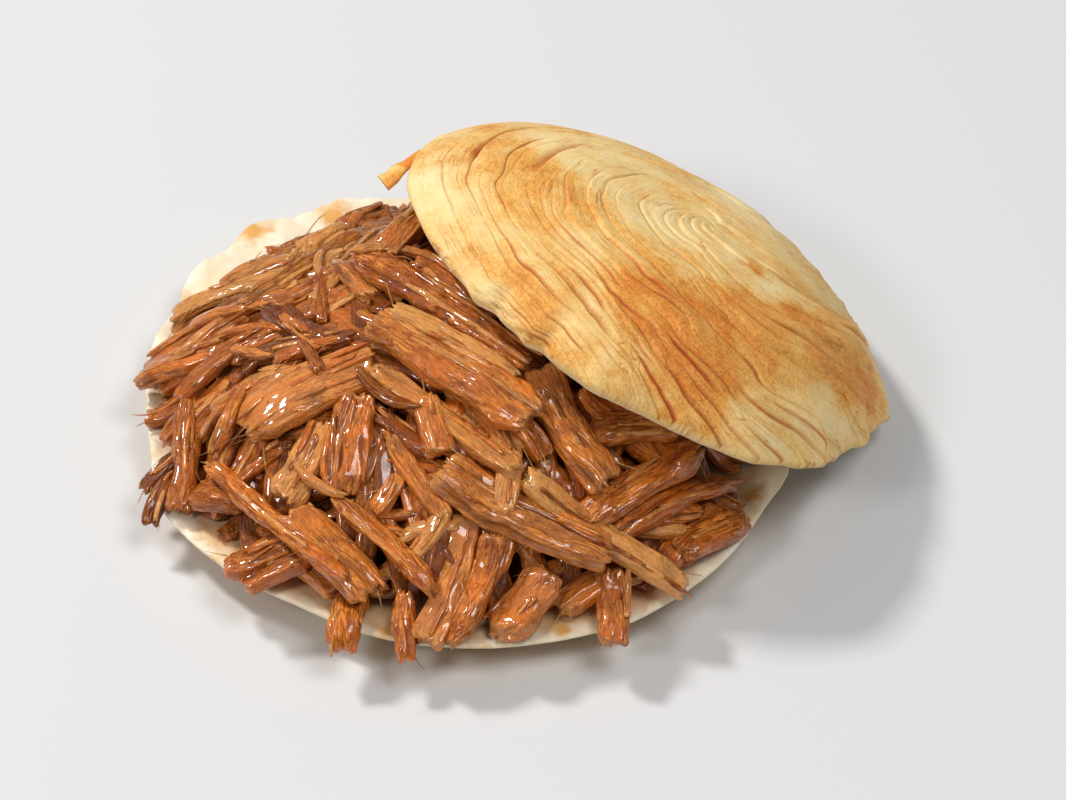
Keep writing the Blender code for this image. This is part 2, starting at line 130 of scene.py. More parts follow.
# Relief of a layer against its share: a slow swell outwards, then a drop into a narrow groove
LID_SWELL = ((0, 0.03, 0.2, 0.45, 0.7, 0.92, 0.975, 1.0),
             (-0.3, 0.10, 0.36, 0.62, 0.85, 1.0, 0.95, -0.3))
# Browned places on the crust: middle x and y and half widths as shares of the radius, strength
LID_BROWNED = (
    (-0.45, -0.60, 0.16, 0.34, 1.0), (-0.28, -0.62, 0.14, 0.26, 1.1), (-0.02, -0.62, 0.20, 0.20, 0.95),
    (0.24, -0.62, 0.24, 0.16, 1.0), (0.52, -0.62, 0.24, 0.14, 0.9), (0.62, -0.34, 0.26, 0.07, 0.6),
    (-0.52, 0.26, 0.12, 0.28, 0.85), (-0.70, 0.02, 0.07, 0.30, 0.5), (-0.88, -0.30, 0.06, 0.36, 0.7),
    (0.16, -0.26, 0.07, 0.10, 0.5), (0.72, 0.20, 0.12, 0.26, 0.5), (0.30, 0.84, 0.22, 0.06, 0.55),
    (-0.10, 0.62, 0.10, 0.04, 0.5), (-0.44, 0.80, 0.12, 0.06, 0.5), (0.02, 0.10, 0.08, 0.12, 0.4),
)
# Open gaps between layers, also darkened with painted shade: layer edge, start and end along it, extra depth
# as shares of a step
LID_GAPS = ((7, 0.40, 0.60, 1.1), (6, 0.60, 0.70, 0.8), (8, 0.50, 0.62, 0.5), (5, 0.42, 0.52, 0.5))

# Heap of meat
HEAP_MIDDLE = Vector((-1, -2.5)) * MM
HEAP_FOOT_RADIUS = 52 * MM
HEAP_FOOT_HEIGHT = 3 * MM
HEAP_RISE = 25 * MM
HEAP_POWER = 2.5
HEAP_SEED = 11
SHRED_MARK = 7.31             # apart from one shred to the next in every noise
SHRED_SINK = 0.9 * MM
SHRED_OVERHANG_DROP = 0.55
SHRED_FLATNESS = 0.62
SHRED_THINNEST = 1.7 * MM
SHRED_THICKEST = 4.6 * MM
SHRED_STATIONS = (0.0, 0.2, 0.72, 1.0)
SHRED_CLEARANCE = 0.8 * MM
SHRED_BOW = 0.06
SHRED_SQUARENESS = 0.60
SHRED_TIP = 0.82              # width of the ends as a share, and how much it varies
SHRED_TIP_SPREAD = 0.15
SHRED_RIDGES = 0.24           # height of the ridges as a share of their spacing
SHRED_LUMPS = 0.16 * MM
SHRED_WANDER = 0.55 * MM      # how far the ridges stray to the side
SHRED_FRAY = 0.95 * MM
SHRED_ROLL = 0.30
SHRED_WEAVE = 0.28 * MM
CORE_CLEARANCE = 0.6 * MM
CEILING_ROUNDS = 6
SUPPORT_CELL = 1 * MM
SUPPORT_REACH = 75
SUPPORT_WIDTH = 0.35
SUPPORT_HEIGHT = 0.4
# Shreds that stand out, lowest first: start x, y and end x, y in the plan and the width,
# all in millimetres
SHREDS = (
    (-35, 31, -29, 34, 4), (-46, 26, -36, 29, 5), (-54, 15, -31, 20, 4),
    (-58, 3, -40, 5, 5), (-59, -1, -43, -2, 6),
    (-57, -9, -47, -7, 4), (-32, 21, -24, 29, 5), (-54, -34, -50, -22, 4), (-56, -26, -48, -18, 3),
    (-40, -46, -29, -44, 6), (-36, -50, -25, -47, 5), (-47, -30, -37, -35, 6), (-43, -18, -33, -17, 6),
    (-17, -52, -18, -62, 6), (-8, -52, -7, -63, 4), (28, -45, 29, -57, 6), (17, -48, 9, -58, 8),
    (40, -38, 52, -26, 6), (23, -25, 38, -21, 6), (44, -24, 51, -25, 3), (-12, 20, -2, 24, 6),
    (-49, -11, -49, -33, 5), (-41, 5, -21, 26, 4), (-35, 1, -25, 9, 4), (-51, -11, -27, 0, 4),
    (-24, -26, -30, -38, 7), (-18, -23, -20, -39, 8), (2, -42, -4, -61, 6), (7, -46, 0, -61, 5),
    (-10, -36, -14, -42, 4), (-29, -41, -14, -54, 8), (-38, -9, -20, -9, 4), (-16, 10, -6, 25, 6),
    (-28, 1, -17, 25, 3), (-7, 1, 6, -11, 5), (5, -12, 15, -21, 5), (5, -25, 15, -32, 5),
    (27, -41, 49, -20, 5), (23, -39, 42, -22, 7), (-38, -26, -16, -16, 11), (-16, -9, 12, -29, 9),
    (-13, -8, 9, -21, 5), (-16, -19, 10, -37, 5), (13, -17, 26, -34, 8), (-21, 10, 11, -19, 6),
    (-12, -30, -2, -44, 4), (-2, -43, -8, -50, 3), (-21, -41, -3, -55, 4), (-3, -37, 27, -45, 10),
    (12, -37, 41, -45, 6), (-44, -28, -18, -54, 4),
)
# Lesser shreds between them: middle x and y, reach, heading in degrees, spread in degrees,
# how many, length and width. Their ends stay within the limit of the middle. Lengths are
# in millimetres.
DRIFT_LIMIT = 55
DRIFT_LENGTHS = (0.7, 1.25)
DRIFT_WIDTHS = (0.75, 1.3)
SHRED_DRIFTS = (
    (-40, 12, 16, 40, 25, 8, 18, 4), (-40, -18, 15, 60, 35, 7, 15, 4),
    (-14, -6, 17, -40, 35, 7, 17, 5), (0, -34, 17, -70, 35, 7, 16, 5),
    (28, -34, 14, 35, 30, 5, 16, 5), (-24, -40, 12, -55, 30, 4, 14, 4),
    (-8, 36, 16, 10, 60, 6, 17, 6), (34, -6, 16, -20, 50, 4, 18, 6),
    (22, 32, 16, 40, 60, 5, 18, 6),
)
SLAB_WIDTH = 6.6 * MM         # a shred from this width on is a slab
STRAND_WIDTH = 4.6 * MM       # and one below this width a strand
FILL_SEED = 5
FILL_COUNT = 44               # thin shreds among the main ones, finer than the solids have
FILL_EVERY = 3                # one of them goes in after every third main one
FILL_LIMIT = 51 * MM
# For each kind that is laid by rule: half lengths and widths in millimetres, thickness as a share
# of the width, and how far it turns off the way of what it follows, in radians
FILL_HALF = (3.5, 8)
FILL_WIDTH = (1.4, 2.7)
FILL_TURN = 0.5
FILL_DRIFT = 4                # how far it strays from the main one, in millimetres
FILL_BOW = 0.3                # its bend as a share of its half length
BED_SEED = 8
BED_SPACING = 5.2 * MM        # shreds half sunk in the core, one for each such square
BED_SINK = 0.28
BED_HALF = (4.5, 8.5)
BED_WIDTH = (2.4, 4.8)
BED_FLATNESS = (0.6, 0.8)
BED_TURN = 0.6
FOOT_SEED = 14
FOOT_COUNT = 84               # shreds that lean on the core's wall round the back
FOOT_SECTOR = (25, 205)       # directions of that part in degrees
FOOT_REACH = (0.70, 0.93)     # how far out they lie, as shares of the heap's foot
FOOT_HALF = (4, 8)
FOOT_WIDTH = (2.2, 4.4)
FOOT_FLATNESS = (0.55, 0.75)
FOOT_TURN = 0.75
CORE_SHRINK = 1.6 * MM        # how far the dark core lies under the solid's
CORE_SPREAD = 0.83            # and how far it reaches, so that bread shows at the margin
CORE_RINGS = 40
CORE_FLOOR_RINGS = 12
CORE_TURN_STEPS = 160
FOOT_SPREAD = CORE_SPREAD + 0.09
FIBRE_SEED = 77
FIBRE_COUNT = 260             # loose hair-like fibres
FIBRE_LENGTH = (1.5, 5.5)     # in millimetres, as the widths are
FIBRE_WIDTH = (0.22, 0.5)
FIBRE_THICKNESS = 0.25 * MM
STRING_SEED = 31
STRING_SPACING = 1.9 * MM     # one thin string on a shred for this much of its width
STRING_START = (-0.02, 0.45)  # where it starts and how much it covers, as shares of the length
STRING_COVER = (0.35, 0.75)
STRING_SIDE = 0.42            # how far from the midline, and how far it drifts, as width shares
STRING_DRIFT = 0.14
STRING_WIDTH = (0.55, 1.25)
TOP_TONE = 0.52               # lightness of the shreds on top, and of those sunk below them, which are darker as sauce-soaked meat and painted shade
SUNK_SAUCE_AND_SHADE_TONE = 0.36
# Kinds of shred: sides round and cuts along its tube, spacing of its ridges, seed and lightness
SHRED_KINDS = {
    "pork_slabs": (72, 60, 0.75 * MM, 1, TOP_TONE),
    "pork_shreds": (40, 40, 0.7 * MM, 2, TOP_TONE),
    "pork_strands": (36, 40, 0.65 * MM, 3, TOP_TONE),
    "pork_threads": (14, 20, 0.8 * MM, 4, TOP_TONE),
    "pork_bed": (16, 16, 0.8 * MM, 6, SUNK_SAUCE_AND_SHADE_TONE),
    "pork_foot": (18, 18, 0.75 * MM, 7, SUNK_SAUCE_AND_SHADE_TONE),
    "pork_strings": (8, 22, 0.5 * MM, 5, TOP_TONE),
}

# Colours as screen codes. A pair is mixed unevenly.
CRUST_CREAM = ("E8CB88", "F3DDA6")
CRUST_GOLDEN = "EDB95F"
CRUST_BAKED = "DC7F1E"
CRUST_GRAINS = "B5681F"
CRUST_FLOUR = "F6E7C0"
CRUST_CREASE_SHADE = "C47C3E"
LID_CRUMB = ("F4EAD6", "E9D7B4")
BREAD_CRUMB = ("F2E7D0", "E9D5B0")
BREAD_TOAST = "DDA65A"
BREAD_SAUCE = "D59A55"
SKIN_PALE = "F0D297"
SKIN_SCORCHED = "DD9A42"
SKIN_GRAINS = "BE7C33"
MEAT_WARM = ("E8740C", "A0440A")
MEAT_GREY = ("B28040", "7C4C20")
MEAT_GLAZE = "D0680C"
MEAT_STRAND_TONE_AND_HIGHLIGHT = "F0A24A"
MEAT_VALLEY_SHADE_AND_SAUCE = "4C1A04"
MEAT_POOLED = "84340A"
MEAT_LIGHT = "E0A660"
MEAT_DARK = "421604"
CORE_DARK_AND_SHADE = ("240C04", "4A1E0A")
CORE_STRAND = "7A3812"

# Camera: fitted to the rim of the lower half
CAMERA_TARGET = Vector((12.9, 1.8, 9.9)) * MM
CAMERA_STAND = Vector((0, 0, 8)) * MM
CAMERA_ELEVATION = math.radians(44)
CAMERA_ROLL = math.radians(4.3)
CAMERA_DISTANCE = 0.85
CAMERA_LENS = 156.4
CAMERA_SENSOR = 36

# Floor and lights: place, size, power and colour of each light
FLOOR_COLOUR = (0.64, 0.64, 0.645, 1)
WORLD_STRENGTH = 0.22
LIGHT_AIM = Vector((0, 0, 0.02))
LIGHTS = {
    "key": ((-0.75, 0.40, 1.05), 0.22, 12.5, (1, 0.985, 0.96)),
    "left_fill": ((-0.75, -0.75, 0.95), 0.30, 5.2, (1, 0.99, 0.97)),
    "top_fill": ((0.45, -0.35, 1.3), 0.6, 7.5, (1, 1, 1)),
}


# Plain helpers

def hex_colour(code):
    """Linear colour of a screen colour code."""
    parts = [int(code[i:i + 2], 16) / 255 for i in (0, 2, 4)]
    linear = [c / 12.92 if c <= 0.04045 else ((c + 0.055) / 1.055) ** 2.4 for c in parts]
    return (*linear, 1.0)


def rows(*axes):
    """An array with a row for each point, from arrays or numbers along each axis."""
    return np.stack(np.broadcast_arrays(*axes), 1)


def smooth_noise(places, seed):
    """Smooth noise from -1 to 1 at each row of an n by 3 array."""
    cell = np.floor(places).astype(np.int64)
    part = places - cell
    part = part * part * (3 - 2 * part)
    total = np.zeros(len(places))
    for corner in itertools.product((0, 1), repeat=3):
        spot = cell + corner
        code = spot[:, 0] * 374761393 + spot[:, 1] * 668265263 + spot[:, 2] * 1440662683 + seed * 974711
        code = (code ^ (code >> 13)) * 1274126177 & 0x7FFFFFFF
        code = (code ^ (code >> 16)) & 0xFFFF
        weight = np.prod(np.where(corner, part, 1 - part), axis=1)
        total += weight * (code / 32767.5 - 1)
    return total


def layered_noise(places, seed, octaves):
    total = np.zeros(len(places))
    for octave in range(octaves):
        total += smooth_noise(places * 2 ** octave + 17.3 * octave, seed + octave) / 2 ** octave
    return total


def smooth_between(values, low, high):
    """0 below low, 1 above high, smooth between."""
    part = np.clip((values - low) / (high - low), 0, 1)
    return part * part * (3 - 2 * part)


def bump(degrees, centre, half_width):
    apart = (degrees - centre + 180) % 360 - 180
    return np.exp(-(apart / half_width) ** 2)


def uneven(angle, features):
    """Sum of the bumps of an uneven rim, in metres."""
    degrees = np.degrees(angle)
    return sum(size * MM * bump(degrees, centre, width) for centre, size, width in features)


def mesh_from(bm, name):
    mesh = bpy.data.meshes.new(name)
    bm.to_mesh(mesh)
    bm.free()
    return mesh


def points_of(mesh):
    """A mesh's points as an n by 3 array."""
    flat = np.empty(len(mesh.vertices) * 3)
    mesh.vertices.foreach_get("co", flat)
    return flat.reshape(-1, 3)


def set_points(mesh, points):
    mesh.vertices.foreach_set("co", np.ascontiguousarray(points, dtype=np.float32).ravel())
    mesh.update()


def paint_points(mesh, name, channels):
    """Store up to four values for each point as a colour attribute."""
    values = np.ones((len(mesh.vertices), 4), np.float32)
    for i, channel in enumerate(channels):
        values[:, i] = channel
    layer = mesh.color_attributes.new(name, "FLOAT_COLOR", "POINT")
    layer.data.foreach_set("color", values.ravel())


def turned(profile, steps):
    """A form turned about the vertical axis from its radii and heights."""
    bm = bmesh.new()
    line = [bm.verts.new((radius, 0, height)) for radius, height in profile]
    edges = [bm.edges.new(pair) for pair in zip(line, line[1:])]
    bmesh.ops.spin(bm, geom=line + edges, cent=(0, 0, 0), axis=(0, 0, 1), dvec=(0, 0, 0),
                   angle=2 * math.pi, steps=steps, use_merge=True, use_duplicate=False)
    return bm


def closed_mesh(bm, name):
    """Close a turned form's poles, face it outwards and make its mesh."""
    bmesh.ops.remove_doubles(bm, verts=bm.verts, dist=POLE_MERGE)
    bmesh.ops.recalc_face_normals(bm, faces=bm.faces)
    return mesh_from(bm, name)


def put(name, data):
    """An object with its data, in the scene."""
    made = bpy.data.objects.new(name, data)
    bpy.context.scene.collection.objects.link(made)
    return made


def add_piece(mesh, material, node=None):
    """Put a finished mesh in the scene, riding on the one body."""
    mesh.shade_smooth()
    mesh.materials.append(material)
    piece = put(mesh.name, mesh)
    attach(piece, "root")
    if node:
        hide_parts(node)


def place_lid(mesh):
    """Move a mesh from the lid's own frame to its place."""
    matrix = np.array(LID_PLACE)
    set_points(mesh, points_of(mesh) @ matrix[:3, :3].T + matrix[:3, 3])


class Curve:
    """A smooth line fitted to points at the given shares of its length."""

    def __init__(self, shares, points):
        self.fits = [np.polyfit(shares, column, 3) for column in np.transpose(points)]

    def at(self, share):
        return rows(*(np.polyval(fit, share) for fit in self.fits))

    def along(self, share):
        slope = rows(*(np.polyval(np.polyder(fit), share) for fit in self.fits))
        return slope / np.linalg.norm(slope, axis=1, keepdims=True)


# Materials

# Kinds of socket that the shader groups have
PLACE, VALUE, COLOUR = "NodeSocketVector", "NodeSocketFloat", "NodeSocketColor"


class Nodes:
    """Short calls for the nodes of one material or group. A colour may be given as its code."""

    def __init__(self, tree):
        self.tree = tree

    def feed(self, sockets, values):
        """Join sockets to other sockets, or set them to plain values."""
        for key, value in values.items():
            if isinstance(value, bpy.types.NodeSocket):
                self.tree.links.new(value, sockets[key])
            else:
                sockets[key].default_value = hex_colour(value) if isinstance(value, str) else value

    def add(self, kind, inputs, **settings):
        node = self.tree.nodes.new(kind)
        for key, value in settings.items():
            setattr(node, key, value)
        self.feed(node.inputs, inputs)
        return node.outputs

    def use(self, group, **inputs):
        return self.add("ShaderNodeGroup", inputs, node_tree=group)

    def toned(self, tone, place, scale, pair):
        """Two colours mixed unevenly."""
        return self.use(tone, Place=place, Scale=scale, First=pair[0], Second=pair[1])["Colour"]

    def mix(self, share, first, second, blend="MIX"):
        return self.add("ShaderNodeMix", {0: share, 6: first, 7: second}, data_type="RGBA",
                        blend_type=blend)[2]

    def calc(self, operation, first, second=0.0):
        return self.add("ShaderNodeMath", {0: first, 1: second}, operation=operation)[0]

    def times(self, first, second):
        return self.calc("MULTIPLY", first, second)

    def plus(self, first, second, share):
        """The first value and a share of the second."""
        return self.calc("ADD", first, self.times(second, share))

    def off_middle(self, noise):
        """How far a noise is from its middle: narrow valleys in smooth ground."""
        return self.calc("ABSOLUTE", self.calc("SUBTRACT", noise, 0.5))

    def remap(self, value, low, high, to_low=0.0, to_high=1.0):
        return self.add("ShaderNodeMapRange", {"Value": value, "From Min": low, "From Max": high,
                                               "To Min": to_low, "To Max": to_high})["Result"]

    def noise(self, place, scale, detail=3.0, roughness=0.55, distortion=0.0):
        return self.add("ShaderNodeTexNoise", {"Vector": place, "Scale": scale, "Detail": detail,
                                               "Roughness": roughness, "Distortion": distortion})["Fac"]

    def stretch(self, place, *scale):
        return self.add("ShaderNodeMapping", {"Vector": place, "Scale": scale})["Vector"]

    def object_place(self):
        return self.add("ShaderNodeTexCoord", {})["Object"]

    def point_values(self, name):
        """The stored values of a point as separate sockets."""
        colour = self.add("ShaderNodeAttribute", {}, attribute_name=name)["Color"]
        split = self.add("ShaderNodeSeparateColor", {"Color": colour})
        return split["Red"], split["Green"], split["Blue"]

    def bumped(self, height, strength, distance, **below):
        return self.add("ShaderNodeBump", {"Height": height, "Strength": strength,
                                           "Distance": distance, **below})["Normal"]


def new_material(name):
    material = bpy.data.materials.new(name)
    material.use_nodes = True
    tree = material.node_tree
    return material, Nodes(tree), tree.nodes["Principled BSDF"].inputs


def new_group(name, inputs, outputs):
    """A shader node group with named sockets: the group, its nodes, its inputs and outputs."""
    group = bpy.data.node_groups.new(name, "ShaderNodeTree")
    for in_out, sockets in (("INPUT", inputs), ("OUTPUT", outputs)):
        for label, kind in sockets.items():
            group.interface.new_socket(label, in_out=in_out, socket_type=kind)
    given, result = group.nodes.new("NodeGroupInput"), group.nodes.new("NodeGroupOutput")
    return group, Nodes(group), given.outputs, result.inputs


def make_flour_speckle():
    """Fine sandy speckle of a baked surface, as a mask and a height."""
    group, n, given, result = new_group("flour_speckle", {"Place": PLACE, "Scale": VALUE},
                                        {"Mask": VALUE, "Height": VALUE})
    grain = n.noise(given["Place"], given["Scale"], 2.0, 0.6)
    coarse = n.noise(given["Place"], n.times(given["Scale"], 0.3), 2.0)
    n.feed(result, {"Mask": n.remap(n.plus(grain, coarse, 0.35), 0.58, 0.82),
                    "Height": n.calc("ADD", grain, coarse)})
    return group


def make_uneven_tone():
    """Two colours mixed by a soft uneven mask."""
    group, n, given, result = new_group(
        "uneven_tone", {"Place": PLACE, "Scale": VALUE, "First": COLOUR, "Second": COLOUR},
        {"Colour": COLOUR})
    mask = n.remap(n.noise(given["Place"], given["Scale"], 4.0, 0.6), 0.35, 0.65)
    n.feed(result, {"Colour": n.mix(mask, given["First"], given["Second"])})
    return group


def make_fibre_grain():
    """Rounded strands along the third axis of a straightened shred, as a mask and a height."""
    group, n, given, result = new_group("fibre_grain", {"Place": PLACE, "Fineness": VALUE},
                                        {"Strand": VALUE, "Height": VALUE})
    drawn = n.stretch(given["Place"], 1.0, 1.0, 0.11)
    scale = n.times(given["Fineness"], 1.1)
    swell = n.off_middle(n.noise(drawn, scale, 1.0, 0.5, 0.3))
    ripple = n.off_middle(n.noise(drawn, n.times(scale, 2.6), 1.0, 0.5, 0.2))
    n.feed(result, {"Strand": n.remap(n.calc("MINIMUM", n.times(ripple, 1.6), swell), 0.0, 0.09),
                    "Height": n.plus(ripple, swell, 2.0)})
    return group


def make_crust(speckle, tone):
    """Golden flaky crust. Points hold browning, painted crease shade and crumb values."""
    material, n, shader = new_material("flaky_crust")
    place = n.object_place()
    layers = n.add("ShaderNodeUVMap", {}, uv_map="Layers")["UV"]
    browning, crease_shade, crumb = n.point_values("crust_look")
    cream = n.toned(tone, place, 70.0, CRUST_CREAM)
    streaks = n.noise(n.stretch(layers, 9.0, 190.0, 1.0), 1.0, 4.0, 0.6)
    patches = n.noise(place, 210.0, 4.0, 0.65)
    spotted = n.use(speckle, Place=place, Scale=1900.0)
    amount = n.plus(browning, n.remap(streaks, 0.3, 0.7, -0.5, 0.5), 0.12)
    amount = n.plus(amount, n.remap(patches, 0.3, 0.7, -0.5, 0.5), 0.34)
    golden = n.mix(n.remap(amount, 0.05, 0.60), cream, CRUST_GOLDEN)
    baked = n.mix(n.remap(amount, 0.42, 1.10), golden, CRUST_BAKED)
    grains = n.times(spotted["Mask"], n.remap(amount, 0.15, 0.95, 0.08, 0.72))
    baked = n.mix(grains, baked, CRUST_GRAINS)
    pale_grains = n.remap(n.noise(place, 2600.0, 1.0), 0.62, 0.78, 0.0, 0.22)
    baked = n.mix(pale_grains, baked, CRUST_FLOUR)
    hair = n.noise(n.stretch(layers, 13.0, 60.0, 1.0), 1.0, 2.0, 0.5, 0.3)
    flaked = n.remap(n.noise(place, 120.0, 2.0), 0.46, 0.60, 0.0, 0.7)
    cracks = n.times(n.remap(n.off_middle(hair), 0.0, 0.020, 1.0, 0.0), flaked)
    # Painted shade: crease lines, gaps and cracks darken the crust by multiplying its colour
    baked = n.mix(n.calc("MAXIMUM", crease_shade, cracks), baked, CRUST_CREASE_SHADE, "MULTIPLY")
    white = n.toned(tone, place, 260.0, LID_CRUMB)
    wrinkles = n.noise(n.stretch(layers, 17.0, 60.0, 1.0), 1.0, 4.0, 0.6)
    creases = n.noise(place, 330.0, 4.0, 0.6, 0.6)
    folds = n.plus(n.times(wrinkles, 0.6), creases, 0.6)
    folds = n.calc("SUBTRACT", folds, n.times(cracks, 0.35))
    pores = n.noise(place, 560.0, 4.0, 0.68, 0.4)
    folds = n.plus(folds, n.times(crumb, pores), 2.2)
    n.feed(shader, {
        "Base Color": n.mix(crumb, baked, white),
        "Roughness": n.remap(patches, 0.3, 0.7, 0.56, 0.72),
        "Specular IOR Level": 0.35,
        "Subsurface Weight": 0.06,
        "Subsurface Radius": (1.0, 0.6, 0.3),
        "Subsurface Scale": 0.0012,
        "Normal": n.bumped(spotted["Height"], 0.4, 0.16 * MM, Normal=n.bumped(folds, 0.5, 0.7 * MM)),
    })
    return material


def make_crumb(speckle, tone):
    """Pale cut bread. Points hold stain, toast and skin values."""
    material, n, shader = new_material("pale_bread")
    place = n.object_place()
    stain, toast, baked = n.point_values("bread_look")
    base = n.toned(tone, place, 110.0, BREAD_CRUMB)
    mottle = n.noise(place, 330.0, 4.0, 0.62)
    spotted = n.use(speckle, Place=place, Scale=1300.0)
    toasted = n.calc("ADD", toast, n.remap(mottle, 0.3, 0.7, -0.3, 0.3))
    colour = n.mix(n.remap(toasted, 0.25, 0.95), base, BREAD_TOAST)
    soaked = n.calc("ADD", stain, n.remap(mottle, 0.3, 0.7, -0.32, 0.32))
    soaked = n.remap(soaked, 0.30, 0.85)
    colour = n.mix(n.times(soaked, 0.62), colour, BREAD_SAUCE)
    scorch = n.noise(place, 75.0, 4.0, 0.6)
    skin = n.mix(n.remap(scorch, 0.42, 0.66), SKIN_PALE, SKIN_SCORCHED)
    skin = n.mix(n.times(spotted["Mask"], 0.5), skin, SKIN_GRAINS)
    pores = n.noise(place, 900.0, 3.0, 0.65)
    n.feed(shader, {
        "Base Color": n.mix(n.times(baked, 0.92), colour, skin),
        "Roughness": n.remap(soaked, 0.0, 1.0, 0.72, 0.32),
        "Subsurface Weight": 0.08,
        "Subsurface Radius": (1.0, 0.75, 0.5),
        "Subsurface Scale": 0.0015,
        "Normal": n.bumped(pores, 0.4, 0.25 * MM, Normal=n.bumped(mottle, 0.35, 0.5 * MM)),
    })
    return material


def make_meat(fibres, tone):
    """Moist pulled pork. Points hold greyness, groove darkening that is painted shade with some sauce, and
    lightness, and a straightened place.
    """
    material, n, shader = new_material("braised_pork")
    where = n.add("ShaderNodeAttribute", {}, attribute_name="shred_place")["Vector"]
    greyness, groove_shade_and_sauce, lightness = n.point_values("meat_look")
    grain = n.use(fibres, Place=where, Fineness=1.0)
    warm = n.toned(tone, where, 0.16, MEAT_WARM)
    grey = n.toned(tone, where, 0.2, MEAT_GREY)
    glaze = n.remap(n.noise(where, 0.11, 2.0, 0.5), 0.45, 0.60)
    bare = n.calc("SUBTRACT", 1.0, n.times(glaze, 0.62))
    flesh = n.mix(greyness, warm, grey)
    flesh = n.mix(n.times(glaze, 0.45), flesh, MEAT_GLAZE)
    # Lighter strand tops: partly paler fibre, partly a painted highlight
    flesh = n.mix(n.times(n.times(grain["Strand"], bare), 0.50), flesh, MEAT_STRAND_TONE_AND_HIGHLIGHT)
    # Painted shade in the valleys between strands and in the grooves, partly dark sauce
    valley_shade_and_sauce = n.times(n.times(n.calc("SUBTRACT", 1.0, grain["Strand"]), 0.66), bare)
    flesh = n.mix(n.calc("MAXIMUM", n.times(groove_shade_and_sauce, 0.75), valley_shade_and_sauce), flesh, MEAT_VALLEY_SHADE_AND_SAUCE)
    pooled = n.noise(where, 0.26, 3.0, 0.6)
    flesh = n.mix(n.remap(pooled, 0.52, 0.68, 0.0, 0.6), flesh, MEAT_POOLED)
    flesh = n.mix(n.remap(lightness, 0.5, 1.0), flesh, MEAT_LIGHT)
    # Low lightness darkens: darker shreds at random, and painted shade with sauce on the sunk ones
    flesh = n.mix(n.remap(lightness, 0.5, 0.0), flesh, MEAT_DARK)
    drops = n.noise(n.stretch(where, 1.0, 1.0, 0.5), 0.75, 3.0, 0.6, 0.5)
    beads = n.noise(n.stretch(where, 1.0, 1.0, 0.45), 1.7, 2.0, 0.55)
    wet = n.bumped(n.plus(drops, beads, 0.8), 0.6, 0.9 * MM)
    n.feed(shader, {
        "Base Color": flesh,
        "Roughness": n.remap(pooled, 0.35, 0.65, 0.40, 0.22),
        "Specular IOR Level": 0.20,
        "Coat Weight": n.calc("MAXIMUM", n.remap(drops, 0.465, 0.56), n.times(glaze, 0.85)),
        "Coat Roughness": 0.06,
        "Coat IOR": 1.6,
        "Subsurface Weight": 0.2,
        "Subsurface Radius": (1.0, 0.38, 0.14),
        "Subsurface Scale": 0.0014,
        "Normal": n.bumped(n.times(grain["Height"], bare), 0.55, 0.5 * MM, Normal=wet),
    })
    return material


def make_sauce_and_shade_core(fibres, tone):
    """Dark wet meat deep in the heap, its strands hanging down the slope. Its near-black colour is partly
    painted shade of the gaps between the shreds.
    """
    material, n, shader = new_material("deep_pork")
    place = n.object_place()
    grain = n.use(fibres, Place=n.stretch(place, 1000.0, 1000.0, 1000.0), Fineness=0.5)
    # Near-black: dark sauce-soaked meat and painted shade of the gaps
    colour = n.toned(tone, place, 260.0, CORE_DARK_AND_SHADE)
    lumps = n.noise(place, 520.0, 4.0, 0.6)
    strands = n.bumped(grain["Height"], 0.8, 1.4 * MM)
    n.feed(shader, {
        "Base Color": n.mix(n.times(grain["Strand"], 0.6), colour, CORE_STRAND),
        "Roughness": 0.6,
        "Specular IOR Level": 0.15,
        "Normal": n.bumped(lumps, 0.9, 0.8 * MM, Normal=strands),
    })
    return material


# Lower half of the bun

def bread_rim_radius(angle):
    return BREAD_RADIUS + uneven(angle, BREAD_RIM_LOBES)


def bread_top(x, y):
    """Height of the cut face."""
    share = math.hypot(x, y) / bread_rim_radius(math.atan2(y, x))
    return BREAD_RIM_HEIGHT - BREAD_CUT_DEPTH * (1 - min(share, 1) ** 2)


def bread_profile():
    """Points of the turned profile, from the middle of the underside to that of the cut face."""
    points = [(BREAD_FOOT_RADIUS * share, 0.0) for share in (0, 0.3, 0.6, 0.85, 1)]
    for i in range(1, BREAD_WALL_POINTS + 1):
        rise = i / BREAD_WALL_POINTS
        radius = BREAD_FOOT_RADIUS + (BREAD_RADIUS - BREAD_FOOT_RADIUS) * rise
        points.append((radius, (BREAD_RIM_HEIGHT - BREAD_LIP) * rise ** BREAD_WALL_CURVE))
    for turn in (30, 60, 90):
        angle = math.radians(turn)
        points.append((BREAD_RADIUS - BREAD_LIP_INSET * (1 - math.cos(angle)),
                       BREAD_RIM_HEIGHT - BREAD_LIP * (1 - math.sin(angle))))
    for i in range(1, BREAD_CUT_POINTS + 1):
        share = (1 - i / BREAD_CUT_POINTS) ** 0.8 * 0.985
        height = BREAD_RIM_HEIGHT - BREAD_CUT_DEPTH * (1 - share ** 2)
        points.append((BREAD_RADIUS * share, height))
    return points


